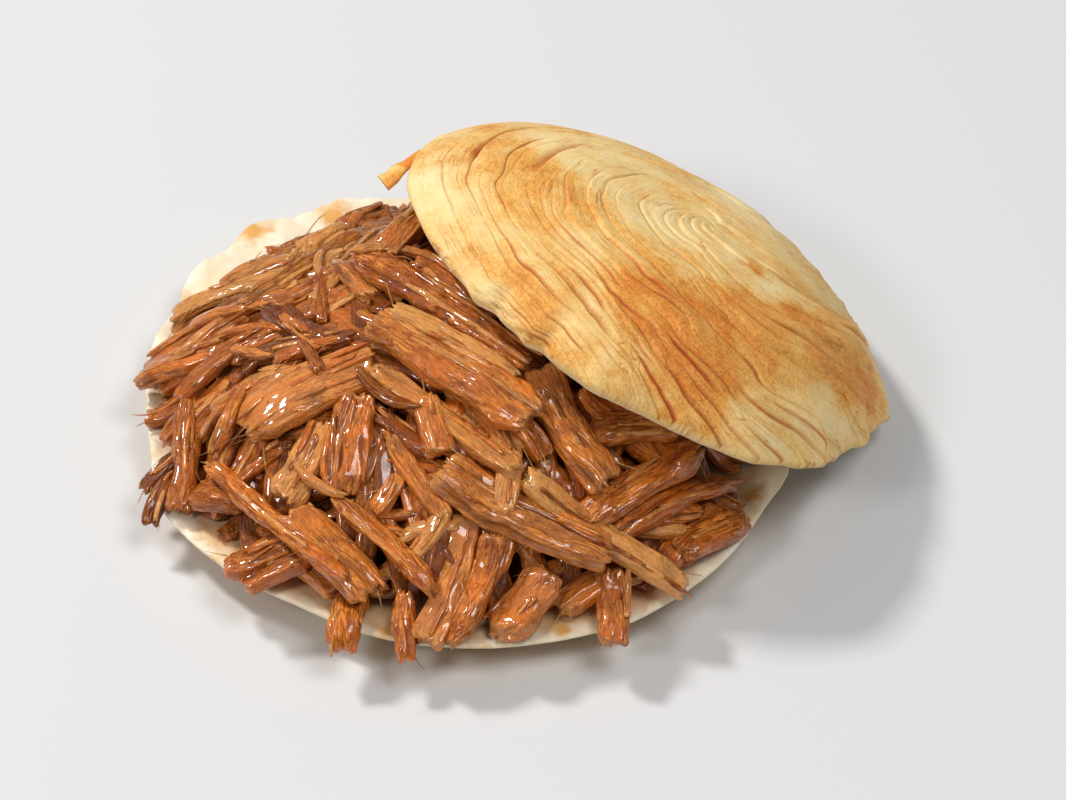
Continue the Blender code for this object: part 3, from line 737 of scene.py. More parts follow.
def make_lower_bun(material):
    mesh = closed_mesh(turned(bread_profile(), BREAD_TURN_STEPS), "lower_bun")
    points = points_of(mesh)
    angle = np.arctan2(points[:, 1], points[:, 0])
    share = np.hypot(points[:, 0], points[:, 1]) / BREAD_RADIUS
    points[:, :2] *= rows(bread_rim_radius(angle) / BREAD_RADIUS)
    top = smooth_between(points[:, 2], *BREAD_TOP_BAND)
    outer = smooth_between(share, 0.70, 0.95)
    lumps = layered_noise(points / (7 * MM), 3, 3)
    crumb = layered_noise(points / (1.6 * MM), 9, 3)
    flaps = bump(np.degrees(angle), *BREAD_PUFFED)
    points[:, 2] += top * (BREAD_LUMPS * lumps + BREAD_PORES * crumb) * MM * (0.35 + 0.65 * outer)
    points[:, 2] += top * outer * flaps * (BREAD_PUFF + BREAD_PUFF * lumps) * MM
    side = smooth_between(points[:, 2], 0.6 * MM, 3 * MM) * outer
    points[:, :2] *= rows(1 + (0.35 * lumps + 0.12 * crumb) * MM * side / BREAD_RADIUS)
    points[:, 2] = np.maximum(points[:, 2], 0)
    set_points(mesh, points)
    stain, toast = bread_stains(points, angle, share)
    skin = (1 - smooth_between(points[:, 2], *BREAD_SKIN_BAND)) * smooth_between(share, 0.6, 0.8)
    paint_points(mesh, "bread_look", (stain * top, toast, skin))
    add_piece(mesh, material, "bottom_bread")


def bread_stains(points, angle, share):
    """Sauce round the foot of the heap, and toasted spots on the rim."""
    reach = np.hypot(points[:, 0] - HEAP_MIDDLE.x, points[:, 1] - HEAP_MIDDLE.y)
    drift = layered_noise(points / (9 * MM), 21, 3)
    wet = bump(np.degrees(angle), 318, 40) + 0.7 * bump(np.degrees(angle), 250, 30)
    edge = HEAP_FOOT_RADIUS + (0.6 + 1.8 * wet + 2.2 * drift) * MM
    stain = 1 - smooth_between(reach, edge - 1.5 * MM, edge + 3.5 * MM)
    toast = 0.25 * smooth_between(share, 0.93, 1.0) * (0.5 + drift)
    for x, y, size in BREAD_TOASTED:
        apart = np.hypot(points[:, 0] - x * MM, points[:, 1] - y * MM) / (size * MM)
        toast = np.maximum(toast, np.exp(-apart ** 2))
    return stain, toast


# Upper half of the bun

def dome(share):
    return LID_DOME * np.maximum(0.0, 1 - share ** LID_DOME_POWER) ** LID_DOME_FALL


def lid_underside(share):
    return LID_HOLLOW * (1 - np.minimum(share, 1) ** 2) - LID_EDGE / 2


def leg_end(ring):
    """Where a spreading leg of the layer pattern meets the unit circle."""
    fan = LID_PATTERN_FAN * ring
    half = fan * ring
    return (-half + np.sqrt(half ** 2 + (1 + fan ** 2) * (1 - ring ** 2))) / (1 + fan ** 2)


def layer_place(ring, spot):
    """Disc place of spots from 0 to 1 along the U-shaped rings of the crust."""
    leg = np.maximum(leg_end(ring), 1e-9)
    arc = math.pi * ring
    travel = spot * (2 * leg + arc)
    turn = np.clip((travel - leg) / np.maximum(arc, 1e-9), 0, 1)
    ring = ring + LID_SPIRAL * (0.5 - turn) * 4 * ring * (1 - ring)
    ahead = np.where(travel < leg, 1 - travel / leg, (travel - leg - arc) / leg)
    ahead = np.clip(ahead, 0, 1) * leg_end(ring)
    on_leg = (travel < leg) | (travel > leg + arc)
    side = np.where(travel < leg, -1.0, 1.0)
    a = np.where(on_leg, ahead, -ring * np.sin(math.pi * turn))
    b = np.where(on_leg, side * ring * (1 + LID_PATTERN_FAN * ahead), -ring * np.cos(math.pi * turn))
    radius, angle = np.hypot(a, b), np.arctan2(b, a)
    start, full, fading, end = LID_SWIRL_SECTOR
    sector = smooth_between(np.degrees(angle), start, full)
    sector *= 1 - smooth_between(np.degrees(angle), fading, end)
    angle = angle + LID_SWIRL * sector * radius ** 1.2
    a, b = radius * np.cos(angle), radius * np.sin(angle)
    cos, sin = math.cos(LID_PATTERN_TURN), math.sin(LID_PATTERN_TURN)
    x, y = a * cos - b * sin, a * sin + b * cos
    inward = 1 - np.minimum(x * x + y * y, 1)
    return x + LID_PATTERN_MIDDLE[0] * inward, y + LID_PATTERN_MIDDLE[1] * inward


def ring_shares():
    """Ring positions from 0 to 1, gathered at each layer's drops."""
    layers = range(LID_LAYERS)
    return np.array([0.0] + [(layer + spot) / LID_LAYERS for layer in layers for spot in LID_RING_SPOTS])


def crust_relief(ring, spot, x, y):
    """Height of the flaky relief, its painted crease shade and the share of a layer, on the crust."""
    level = np.minimum(np.floor(ring * LID_LAYERS + 1e-7), LID_LAYERS - 1)
    share = ring * LID_LAYERS - level
    along = rows(spot * 7, level * 5.7, 0)
    strong = 0.34 + 0.66 * (1 - smooth_between(spot, 0.42, 0.62))
    step = np.clip(0.60 + 0.75 * smooth_noise(along, 4), 0.12, 1.3) * strong
    relief = LID_STEP * step * np.interp(share, *LID_SWELL)
    # The crease mask is painted shade along the foot and lip of each layer and at the minor drops
    foot = np.exp(-(share / LID_FOOT) ** 2)
    lip = np.exp(-((1 - share) / LID_LIP) ** 2)
    crease_shade = np.maximum(foot, 0.6 * lip) * np.clip(step * 0.9 + 0.1, 0, 1)
    for number, drop in enumerate(LID_MINOR_DROPS):
        minor = np.clip(0.35 + 1.1 * smooth_noise(along * 1.6 + 31.7 * (number + 1), 6), 0, 1)
        behind = (share - drop) % 1
        height = LID_STEP * LID_MINOR_STEP * minor * np.interp(behind, *LID_SWELL)
        relief += height * (0.35 + 0.65 * (share < drop))
        crease_shade = np.maximum(crease_shade, 0.9 * minor * np.exp(-((share - drop) / LID_MINOR_CREASE) ** 2))
    broken = smooth_noise(rows(spot * 17, ring * LID_LAYERS * 3, 0), 27)
    crease_shade *= np.clip(0.62 + 0.9 * broken, 0.1, 1)
    for layer, start, end, depth in LID_GAPS:
        reach = smooth_between(spot, start - 0.03, start + 0.03)
        reach *= 1 - smooth_between(spot, end - 0.03, end + 0.03)
        below = (level == layer) * np.exp(-(share / 0.20) ** 2)
        relief -= LID_STEP * depth * reach * below
        # The open gaps get painted shade as well
        crease_shade = np.maximum(crease_shade, reach * below)
    radius, degrees = np.hypot(x, y), np.degrees(np.arctan2(y, x))
    direction, width, gain = LID_PLEATS
    pleats = 1 + gain * bump(degrees, direction, width) * smooth_between(radius, 0.45, 0.85)
    fade = 1 - (1 - LID_RIM_RELIEF) * radius ** LID_RIM_FADE
    return relief * fade * pleats, np.clip(crease_shade * pleats, 0, 1), share


def crust_browning(x, y, share, spot):
    """How browned the crust is: in patches, and more towards each layer's outer edge."""
    bent = 0.10 * smooth_noise(rows(x * 4, y * 4, 0), 61)
    x, y = x + bent, y - bent
    patch = np.zeros(len(x))
    for cx, cy, rx, ry, strength in LID_BROWNED:
        patch += strength * np.exp(-((x - cx) / rx) ** 2 - ((y - cy) / ry) ** 2)
    wander = layered_noise(rows(x * 5, y * 5, 0), 12, 3)
    streaks = layered_noise(rows(spot * 7, share * 0.8 + x * 4, y * 4), 24, 3)
    worn = np.clip(0.5 + smooth_noise(rows(spot * 8, x * 3, y * 3), 23), 0, 1)
    edge = share ** 2.2 * worn
    baked = np.clip(patch, 0, 1.05) * (0.68 + 0.20 * edge) + 0.15 + 0.14 * edge
    return np.minimum(baked + 0.17 * wander + 0.17 * streaks, 0.98)


def make_upper_bun(material):
    bm = bmesh.new()
    bm.loops.layers.uv.new("Layers")
    across = len(ring_shares()) - 1
    bmesh.ops.create_grid(bm, x_segments=LID_ALONG, y_segments=across, size=0.5, calc_uvs=True)
    mesh = mesh_from(bm, "upper_bun")
    flat = points_of(mesh)
    spot = np.clip(flat[:, 0] + 0.5, 0, 1)
    ring = ring_shares()[np.round((flat[:, 1] + 0.5) * across).astype(int)]
    x, y = layer_place(ring, spot)
    wander = layered_noise(rows(x * 4.0, y * 4.0, 0), 8, 2) * LID_WANDER
    wander += LID_WANDER_QUICK * smooth_noise(rows(spot * 14, ring * LID_LAYERS * 1.1, 0), 19)
    wander += LID_WANDER_FINE * smooth_noise(rows(spot * 52, ring * LID_LAYERS * 1.6, 0), 20)
    room = 4 * ring * (1 - ring)
    x, y = layer_place(np.clip(ring + wander * room, 0, 1), spot)
    relief, crease_shade, share = crust_relief(ring, spot, x, y)
    radius = np.minimum(np.hypot(x, y), 1)
    angle = np.arctan2(y, x)
    fade = radius ** LID_RIM_FADE
    ragged = smooth_noise(rows(np.cos(angle) * 14, np.sin(angle) * 14, 0), 2)
    front = 0.35 + 0.65 * bump(np.degrees(angle), -75, 60)
    scale = LID_RADIUS + uneven(angle, LID_RIM_NICKS) * fade + LID_RIM_RAGGED * ragged * front * radius ** 14
    swell = layered_noise(rows(x * 2.2, y * 2.2, 0), 15, 2) * LID_SOFT_SWELL * MM * (1 - fade)
    grain = smooth_noise(rows(spot * 60, ring * 160, 0), 5) * LID_GRAIN * MM
    height = dome(radius) + LID_EDGE / 2 + relief + swell + grain
    set_points(mesh, rows(x * scale, y * scale, height))
    paint_points(mesh, "crust_look", (crust_browning(x, y, share, spot), crease_shade, 0))
    stretch_layer_uv(mesh, across)
    close_lid(mesh)
    place_lid(mesh)
    add_piece(mesh, material, "top_bread")


def stretch_layer_uv(mesh, across):
    """Give the crust's map its uneven ring spacing."""
    layer = mesh.uv_layers["Layers"]
    flat = np.empty(len(mesh.loops) * 2)
    layer.data.foreach_get("uv", flat)
    pairs = flat.reshape(-1, 2)
    pairs[:, 1] = np.interp(pairs[:, 1] * across, np.arange(across + 1), ring_shares())
    layer.data.foreach_set("uv", pairs.ravel())


def spot_key(v):
    return tuple(round(c, 8) for c in v.co)


def close_lid(mesh):
    """Close the crust with a torn edge and a hollow underside of crumb."""
    bm = bmesh.new()
    bm.from_mesh(mesh)
    bmesh.ops.remove_doubles(bm, verts=bm.verts, dist=0.012 * MM)
    look = bm.verts.layers.float_color["crust_look"]
    half = LID_EDGE / 2
    steps = [(0.997, half * 0.55), (0.988, half * 0.1), (0.974, -half * 0.5), (0.955, -half)]
    steps += [(0.93 * (1 - i / LID_UNDER_RINGS) ** 0.9, None) for i in range(1, LID_UNDER_RINGS)]
    edge = [e for e in bm.edges if e.is_boundary]
    rim = {v: (v.co.x, v.co.y) for e in edge for v in e.verts}
    for inward, level in steps:
        grown = bmesh.ops.extrude_edge_only(bm, edges=edge)["geom"]
        edge = [g for g in grown if isinstance(g, bmesh.types.BMEdge)]
        new = [g for g in grown if isinstance(g, bmesh.types.BMVert)]
        known = {spot_key(v): place for v, place in rim.items()}
        rim = {v: known[spot_key(v)] for v in new}
        torn = layered_noise(np.array([(v.co.x, v.co.y, inward * 0.03) for v in new]) / (1.8 * MM), 33, 2)
        for v, rough in zip(new, torn):
            x, y = rim[v]
            share = min(1.0, math.hypot(x, y) * inward / LID_RADIUS)
            depth = lid_underside(share) if level is None else level
            crumb = LID_TORN * rough * min(1.0, (1 - inward) * 8)
            v.co = (x * inward, y * inward, depth + crumb)
            v[look] = (0.25, 0.0, min(1.0, max(0.0, (0.992 - inward) * 45)), 1.0)
    bmesh.ops.pointmerge(bm, verts=new, merge_co=(0, 0, lid_underside(0)))
    bmesh.ops.recalc_face_normals(bm, faces=bm.faces)
    bm.to_mesh(mesh)
    bm.free()


def make_strip(material):
    """Thin torn strip that peels off the rim and hangs from it."""
    bm = bmesh.new()
    made = bmesh.ops.create_grid(bm, x_segments=26, y_segments=5, size=0.5)["verts"]
    spots = np.array([tuple(v.co) for v in made])
    along, across = spots[:, 0] + 0.5, spots[:, 1]
    directions, out, height, width = (np.array(column, float) for column in zip(*LID_STRIP))
    shares = np.linspace(0, 1, len(LID_STRIP))
    angle, reach = np.radians(directions), LID_RADIUS + out * MM
    path = Curve(shares, rows(np.cos(angle) * reach, np.sin(angle) * reach, height * MM + LID_EDGE / 2))
    way = path.along(along)
    side = np.cross(way, np.array(LID_PLACE.to_3x3().inverted() @ LID_STRIP_FACING))
    side /= np.linalg.norm(side, axis=1, keepdims=True)
    ragged = 1 + 0.35 * smooth_noise(rows(along * 7, across * 2, 0), 40)
    spread = across * (np.interp(along, shares, width) * MM * ragged)
    curl = 0.25 * MM * (across * 2) ** 2
    points = path.at(along) + side * rows(spread) - np.cross(side, way) * rows(curl)
    for v, point in zip(made, points):
        v.co = point
    bmesh.ops.solidify(bm, geom=bm.faces[:], thickness=LID_STRIP_THICKNESS)
    bmesh.ops.recalc_face_normals(bm, faces=bm.faces)
    bm.loops.layers.uv.new("Layers")
    mesh = mesh_from(bm, "crust_strips")
    place_lid(mesh)
    browning = 0.62 + 0.35 * layered_noise(points_of(mesh) / (3 * MM), 50, 2)
    paint_points(mesh, "crust_look", (browning, 0, 0))
    add_piece(mesh, material)


# Heap of meat

class Ceiling:
    """Height of the lid's underside over a plan point."""

    def __init__(self):
        self.to_lid = LID_PLACE.inverted()
        self.normal = LID_PLACE.to_3x3() @ Vector((0, 0, 1))

    def height(self, x, y):
        z = LID_CENTRE.z
        for _ in range(CEILING_ROUNDS):
            local = self.to_lid @ Vector((x, y, z))
            share = math.hypot(local.x, local.y) / LID_RADIUS
            z += (float(lid_underside(share)) - local.z) / self.normal.z
        return z if share < LID_COVER else None


def heap_core_top(x, y, ceiling):
    """Height of the smooth core of the heap."""
    share = min(1.0, math.hypot(x - HEAP_MIDDLE.x, y - HEAP_MIDDLE.y) / HEAP_FOOT_RADIUS)
    top = bread_top(x, y) + HEAP_FOOT_HEIGHT + HEAP_RISE * (1 - share ** HEAP_POWER)
    over = ceiling.height(x, y)
    return top if over is None else min(top, over - CORE_CLEARANCE)


class Support:
    """Height map of the growing heap, in cells round the middle."""

    def __init__(self, ceiling):
        count = 2 * SUPPORT_REACH + 1
        self.cells = np.zeros((count, count))
        for i, j in itertools.product(range(count), repeat=2):
            x, y = (i - SUPPORT_REACH) * SUPPORT_CELL, (j - SUPPORT_REACH) * SUPPORT_CELL
            on_core = math.hypot(x - HEAP_MIDDLE.x, y - HEAP_MIDDLE.y) < HEAP_FOOT_RADIUS
            self.cells[i, j] = heap_core_top(x, y, ceiling) if on_core else bread_top(x, y)

    def window(self, x, y, reach):
        i, j = round(x / SUPPORT_CELL) + SUPPORT_REACH, round(y / SUPPORT_CELL) + SUPPORT_REACH
        cells = round(reach / SUPPORT_CELL)
        return slice(i - cells, i + cells + 1), slice(j - cells, j + cells + 1)

    def height(self, x, y, reach):
        return float(self.cells[self.window(x, y, reach)].mean())

    def carry(self, shred):
        """Raise the cells under a laid shred."""
        for first, second in zip(shred.points, shred.points[1:]):
            steps = max(1, round((second - first).length / SUPPORT_CELL))
            for i in range(steps + 1):
                here = first.lerp(second, i / steps)
                where = self.window(here.x, here.y, shred.width * SUPPORT_WIDTH)
                self.cells[where] = np.maximum(self.cells[where], here.z + shred.thickness * SUPPORT_HEIGHT)


def rest_heights(support, ceiling, plan, thickness):
    """Heights of a shred's midline at its plan points, resting on what is below it."""
    ground = [support.height(p.x, p.y, 2 * SUPPORT_CELL) for p in plan]
    level = []
    for i, point in enumerate(plan):
        near = ground[max(i - 1, 0):i + 2]
        z = (sum(near) + ground[i]) / (len(near) + 1) + thickness / 2 - SHRED_SINK
        floor = bread_top(point.x, point.y) + TOUCH_GAP + thickness / 2
        past_rim = point.length - bread_rim_radius(math.atan2(point.y, point.x)) - thickness
        z = z - SHRED_OVERHANG_DROP * past_rim if past_rim > 0 else max(z, floor)
        over = ceiling.height(point.x, point.y)
        if over is not None:
            z = min(z, over - SHRED_CLEARANCE - thickness / 2)
        level.append(z)
    return level


def hold_inside(middle, along):
    """Move a shred of a drift in from the rim until both its ends lie on the bread."""
    for end in (middle - along, middle + along):
        past = end.length - DRIFT_LIMIT
        if past > 0:
            middle = middle - end.normalized() * past
    return middle


def shred_rows(rng):
    """Every shred of the solids as start, end and width in metres: drifts first."""
    made = []
    for x, y, reach, heading, spread, count, length, width in SHRED_DRIFTS:
        for _ in range(count):
            turn = math.radians(heading + rng.uniform(-spread, spread))
            half = length / 2 * rng.uniform(*DRIFT_LENGTHS)
            away, around = reach * math.sqrt(rng.random()), rng.uniform(0, 2 * math.pi)
            middle = Vector((x + away * math.cos(around), y + away * math.sin(around)))
            along = Vector((math.cos(turn), math.sin(turn))) * half
            middle = hold_inside(middle, along)
            thick = width * rng.uniform(*DRIFT_WIDTHS)
            made.append(((middle - along) * MM, (middle + along) * MM, thick * MM))
    for x0, y0, x1, y1, width in SHREDS:
        made.append((Vector((x0, y0)) * MM, Vector((x1, y1)) * MM, width * MM))
    return made


class Shred(Curve):
    """One laid shred: the curve of its midline, its width and its thickness."""

    def __init__(self, points, width, thickness, number):
        super().__init__(np.array(SHRED_STATIONS), np.array([tuple(p) for p in points]))
        self.points = points
        self.width = width
        self.thickness = thickness
        self.number = number
        self.length = sum((b - a).length for a, b in zip(points, points[1:]))


def plan_points(start, end, bow):
    across = Vector((start.y - end.y, end.x - start.x)).normalized()
    return [start.lerp(end, share) + across * bow * math.sin(math.pi * share) for share in SHRED_STATIONS]


def lay(support, ceiling, start, end, width, bow, number):
    thickness = min(SHRED_THICKEST, max(SHRED_THINNEST, width * SHRED_FLATNESS), width)
    plan = plan_points(start, end, bow)
    heights = rest_heights(support, ceiling, plan, thickness)
    points = [Vector((p.x, p.y, z)) for p, z in zip(plan, heights)]
    return Shred(points, width, thickness, number)


def lay_heap(ceiling):
    """Lay the shreds as the solids have them, with finer ones between."""
    rng = random.Random(HEAP_SEED)
    chance = random.Random(FILL_SEED)
    support = Support(ceiling)
    laid, fill = [], []
    main = shred_rows(rng)
    for number, (start, end, width) in enumerate(main):
        bow = rng.uniform(-SHRED_BOW, SHRED_BOW) * (end - start).length
        laid.append(lay(support, ceiling, start, end, width, bow, number))
        support.carry(laid[-1])
        if number % FILL_EVERY == 0:
            fill.append(lay_thread(support, ceiling, chance, main, 1000 + len(fill)))
    while len(fill) < FILL_COUNT:
        fill.append(lay_thread(support, ceiling, chance, main, 1000 + len(fill)))
    return laid, fill, lay_bed(ceiling, main), lay_foot(ceiling)


def lay_thread(support, ceiling, chance, main, number):
    """A thin shred that follows the way of one of the main ones."""
    start, end, _ = chance.choice(main)
    along = (end - start).normalized()
    turn = chance.gauss(0, FILL_TURN)
    along = Vector((along.x * math.cos(turn) - along.y * math.sin(turn),
                    along.x * math.sin(turn) + along.y * math.cos(turn)))
    middle = start.lerp(end, chance.random())
    middle = middle + Vector((chance.gauss(0, FILL_DRIFT), chance.gauss(0, FILL_DRIFT))) * MM
    half = chance.uniform(*FILL_HALF) * MM
    if middle.length + half > FILL_LIMIT:
        middle = middle * (FILL_LIMIT - half) / max(middle.length, MM)
    width = chance.uniform(*FILL_WIDTH) * MM
    bow = chance.uniform(-FILL_BOW, FILL_BOW) * half
    return lay(support, ceiling, middle - along * half, middle + along * half, width, bow, number)


def sunk_plan(chance, spot, along, widths, flatness):
    """Plan points, width and thickness of a shred with both its ends on the bread."""
    spot = hold_inside(spot / MM, along / MM) * MM
    width = chance.uniform(*widths) * MM
    thickness = width * chance.uniform(*flatness)
    return plan_points(spot - along, spot + along, chance.uniform(-1.2, 1.2) * MM), width, thickness


def sunk_shred(plan, levels, width, thickness, number):
    """A shred at the given levels, or higher where the bread is."""
    points = []
    for p, level in zip(plan, levels):
        low = bread_top(p.x, p.y) + TOUCH_GAP + thickness * 0.45
        points.append(Vector((p.x, p.y, max(low, level))))
    return Shred(points, width, thickness, number)


def lay_bed(ceiling, main):
    """Shreds half sunk in the core all over, so that the gaps between the others show meat."""
    chance = random.Random(BED_SEED)
    made = []
    cells = math.ceil(HEAP_FOOT_RADIUS / BED_SPACING)
    for i, j in itertools.product(range(-cells, cells + 1), repeat=2):
        cell = Vector((i + chance.uniform(-0.5, 0.5), j + chance.uniform(-0.5, 0.5)))
        spot = HEAP_MIDDLE + cell * BED_SPACING
        if (spot - HEAP_MIDDLE).length > HEAP_FOOT_RADIUS:
            continue
        start, end, _ = min(main, key=lambda row: (row[0].lerp(row[1], 0.5) - spot).length)
        turn = Matrix.Rotation(chance.gauss(0, BED_TURN), 2)
        along = turn @ (end - start).normalized() * chance.uniform(*BED_HALF) * MM
        plan, width, thickness = sunk_plan(chance, spot, along, BED_WIDTH, BED_FLATNESS)
        sink = thickness * (BED_SINK + chance.uniform(0, 0.3))
        levels = []
        for p in plan:
            edge = float(smooth_between((p - HEAP_MIDDLE).length / HEAP_FOOT_RADIUS, 0.8, 1.0))
            levels.append(heap_core_top(p.x, p.y, ceiling) - sink - HEAP_FOOT_HEIGHT * edge)
        made.append(sunk_shred(plan, levels, width, thickness, 4000 + len(made)))
    return made


def lay_foot(ceiling):
    """Shreds that lean on the steep wall of the core round the back and the left."""
    chance = random.Random(FOOT_SEED)
    made = []
    first, last = FOOT_SECTOR
    for number in range(FOOT_COUNT):
        turn = math.radians(first + (last - first) * (number + chance.random()) / FOOT_COUNT)
        out = Vector((math.cos(turn), math.sin(turn)))
        spot = HEAP_MIDDLE + out * HEAP_FOOT_RADIUS * chance.uniform(*FOOT_REACH)
        lean = Matrix.Rotation(math.pi / 2 + chance.gauss(0, FOOT_TURN), 2)
        along = lean @ out * chance.uniform(*FOOT_HALF) * MM
        plan, width, thickness = sunk_plan(chance, spot, along, FOOT_WIDTH, FOOT_FLATNESS)
        inner = [HEAP_MIDDLE + (p - HEAP_MIDDLE) / FOOT_SPREAD for p in plan]
        levels = [heap_core_top(p.x, p.y, ceiling) - CORE_SHRINK for p in inner]
        made.append(sunk_shred(plan, levels, width, thickness, 5000 + number))
    return made


def lay_strings(shreds):
    """Thin strings of meat that lie along the upper side of the wider shreds."""
    chance = random.Random(STRING_SEED)
    strings = []
    for shred in shreds:
        for _ in range(max(1, round(shred.width / STRING_SPACING))):
            low = chance.uniform(*STRING_START)
            high = min(1.03, low + chance.uniform(*STRING_COVER))
            across = chance.uniform(-STRING_SIDE, STRING_SIDE)
            drift = chance.uniform(-STRING_DRIFT, STRING_DRIFT)
            width = chance.uniform(*STRING_WIDTH) * MM
            points = []
            for step in SHRED_STATIONS:
                share = np.array([low + (high - low) * step])
                here, ahead = Vector(shred.at(share)[0]), Vector(shred.along(share)[0])
                side = Vector((-ahead.y, ahead.x, 0)).normalized()
                offset = across + drift * (step - 0.5)
                crown = math.sqrt(max(0.0, 1 - (offset * 2) ** 2)) ** 0.6
                rise = shred.thickness / 2 * crown + width * chance.uniform(-0.25, 0.12)
                points.append(here + side * offset * shred.width + ahead.cross(side) * rise)
            strings.append(Shred(points, width, width * 0.8, 2000 + len(strings)))
    return strings


class Tube:
    """Closed unit tube, made once and bent along many shreds."""

    def __init__(self, around, along):
        bm = bmesh.new()
        bmesh.ops.create_cone(bm, cap_ends=True, cap_tris=False, segments=around, radius1=1,
                              radius2=1, depth=1)
        upright = [e for e in bm.edges if abs(e.verts[0].co.z - e.verts[1].co.z) > 0.5]
        bmesh.ops.subdivide_edges(bm, edges=upright, cuts=along, use_grid_fill=True)
        bmesh.ops.poke(bm, faces=[f for f in bm.faces if len(f.verts) == around])
        bm.verts.index_update()
        places = np.array([tuple(v.co) for v in bm.verts])
        self.x, self.y = places[:, 0], places[:, 1]
        self.share = places[:, 2] + 0.5
        self.inside = np.hypot(self.x, self.y) < 0.5
        self.corners = np.concatenate([[v.index for v in f.verts] for f in bm.faces])
        self.sizes = np.array([len(f.verts) for f in bm.faces])
        bm.free()

    def ends(self, reach):
        """0 at both ends and 1 along the middle, smooth over the reach."""
        return smooth_between(np.minimum(self.share, 1 - self.share), 0, reach)


def shape_shred(tube, shred, pitch):
    """Points, straightened places and groove darkening of one shred: painted shade in its grooves and
    clefts, partly dark sauce.
    """
    mark, share = shred.number * SHRED_MARK, tube.share
    length, width, thickness = shred.length, shred.width, shred.thickness
    span = share * length / MM
    angle = np.arctan2(tube.y, tube.x)
    cos, sin = np.cos(angle), np.sin(angle)
    a = np.sign(cos) * np.abs(cos) ** SHRED_SQUARENESS
    b = np.sign(sin) * np.abs(sin) ** SHRED_SQUARENESS

    # Outline: narrower ends, uneven along its length
    first = SHRED_TIP + SHRED_TIP_SPREAD * math.sin(mark * 3.1)
    last = SHRED_TIP + SHRED_TIP_SPREAD * math.cos(mark * 2.3)
    taper = first + (1 - first) * smooth_between(share, 0, 0.16)
    taper *= last + (1 - last) * (1 - smooth_between(share, 0.84, 1.0))
    broad = taper * (1 + 0.18 * smooth_noise(rows(span / 5, mark, mark), 1))
    deep = taper * (1 + 0.22 * smooth_noise(rows(span / 4, mark + 5, mark), 2))
    round_off = np.clip(np.minimum(share, 1 - share) / 0.035, 0, 1)
    round_off = np.sqrt(1 - (1 - round_off) ** 2) * 0.25 + 0.75
    across, upward = a * width / 2 * broad * round_off, b * thickness / 2 * deep * round_off

    # Relief: ridges of muscle strands, soft lumps and a few clefts
    wavy = across + SHRED_WANDER * smooth_noise(rows(span / 4, across / (4 * MM) + mark, mark), 9)
    drawn = rows(wavy / pitch + mark, upward / pitch, span * MM / pitch * 0.13)
    ridges = 2.2 * np.abs(smooth_noise(drawn * 0.75, 3)) + 0.9 * np.abs(smooth_noise(drawn * 1.5, 4)) - 0.9
    lumps = smooth_noise(rows(across / (2.4 * MM) + mark, upward / (2.4 * MM), span / 3.4), 10)
    split = rows(wavy / (pitch * 2.8) + mark, upward / (pitch * 2.8), span / 11)
    clefts = np.clip(-smooth_noise(split, 5) - 0.30, 0, 1) * 1.5
    lift = SHRED_RIDGES * pitch * ridges + SHRED_LUMPS * lumps
    lift -= clefts * min(thickness * 0.30, pitch * 1.3)
    lift = lift * (0.3 + 0.7 * tube.ends(0.08))
    out_x, out_y = cos * thickness, sin * width
    norm = np.hypot(out_x, out_y)
    across = np.where(tube.inside, 0, across + lift * out_x / norm)
    upward = np.where(tube.inside, 0, upward + lift * out_y / norm)

    # Frayed ends, then a slight roll, and the bend along the shred's curve
    fray = layered_noise(rows(a * width / pitch * 0.4 + mark, b * 1.3, mark), 6, 2)
    fray = np.where(tube.inside, -0.4, fray)
    reach = min(SHRED_FRAY, 0.06 * length) * fray
    shift = reach * (smooth_between(share, 0.88, 1.0) - (1 - smooth_between(share, 0, 0.12)))
    roll = SHRED_ROLL * math.sin(mark) * (share - 0.5) * 2
    roll += 0.12 * smooth_noise(rows(span / 9, mark, mark + 9), 7)
    turned_x = across * np.cos(roll) - upward * np.sin(roll)
    turned_y = across * np.sin(roll) + upward * np.cos(roll)
    here, ahead = shred.at(share), shred.along(share)
    side = rows(-ahead[:, 1], ahead[:, 0], 0)
    side /= np.linalg.norm(side, axis=1, keepdims=True)
    up = np.cross(ahead, side)
    weave = SHRED_WEAVE * smooth_noise(rows(span / 5, mark, mark + 3), 8)
    points = here + side * rows(turned_x + weave) + up * rows(turned_y) + ahead * rows(shift)
    places = rows(across / MM + mark, upward / MM, span + mark)
    # Painted shade with some sauce: darker colour in the grooves and clefts
    groove_shade_and_sauce = np.clip(-0.1 - ridges * 0.8 + clefts * 1.2, 0, 1)
    return points, places, groove_shade_and_sauce


def shred_tone(shred, chance, lightness):
    """Greyness and lightness of one shred: greyer at the back, warmer in front."""
    middle = shred.at(np.array([0.5]))[0]
    back = smooth_between(middle[1], -8 * MM, 24 * MM)
    greyness = np.clip(0.02 + 0.62 * back + chance.gauss(0, 0.16), 0, 1)
    spread = 0.16 if shred.width < SLAB_WIDTH else 0.08
    return greyness, min(max(lightness + chance.gauss(0.0, spread), 0.15), 0.78)


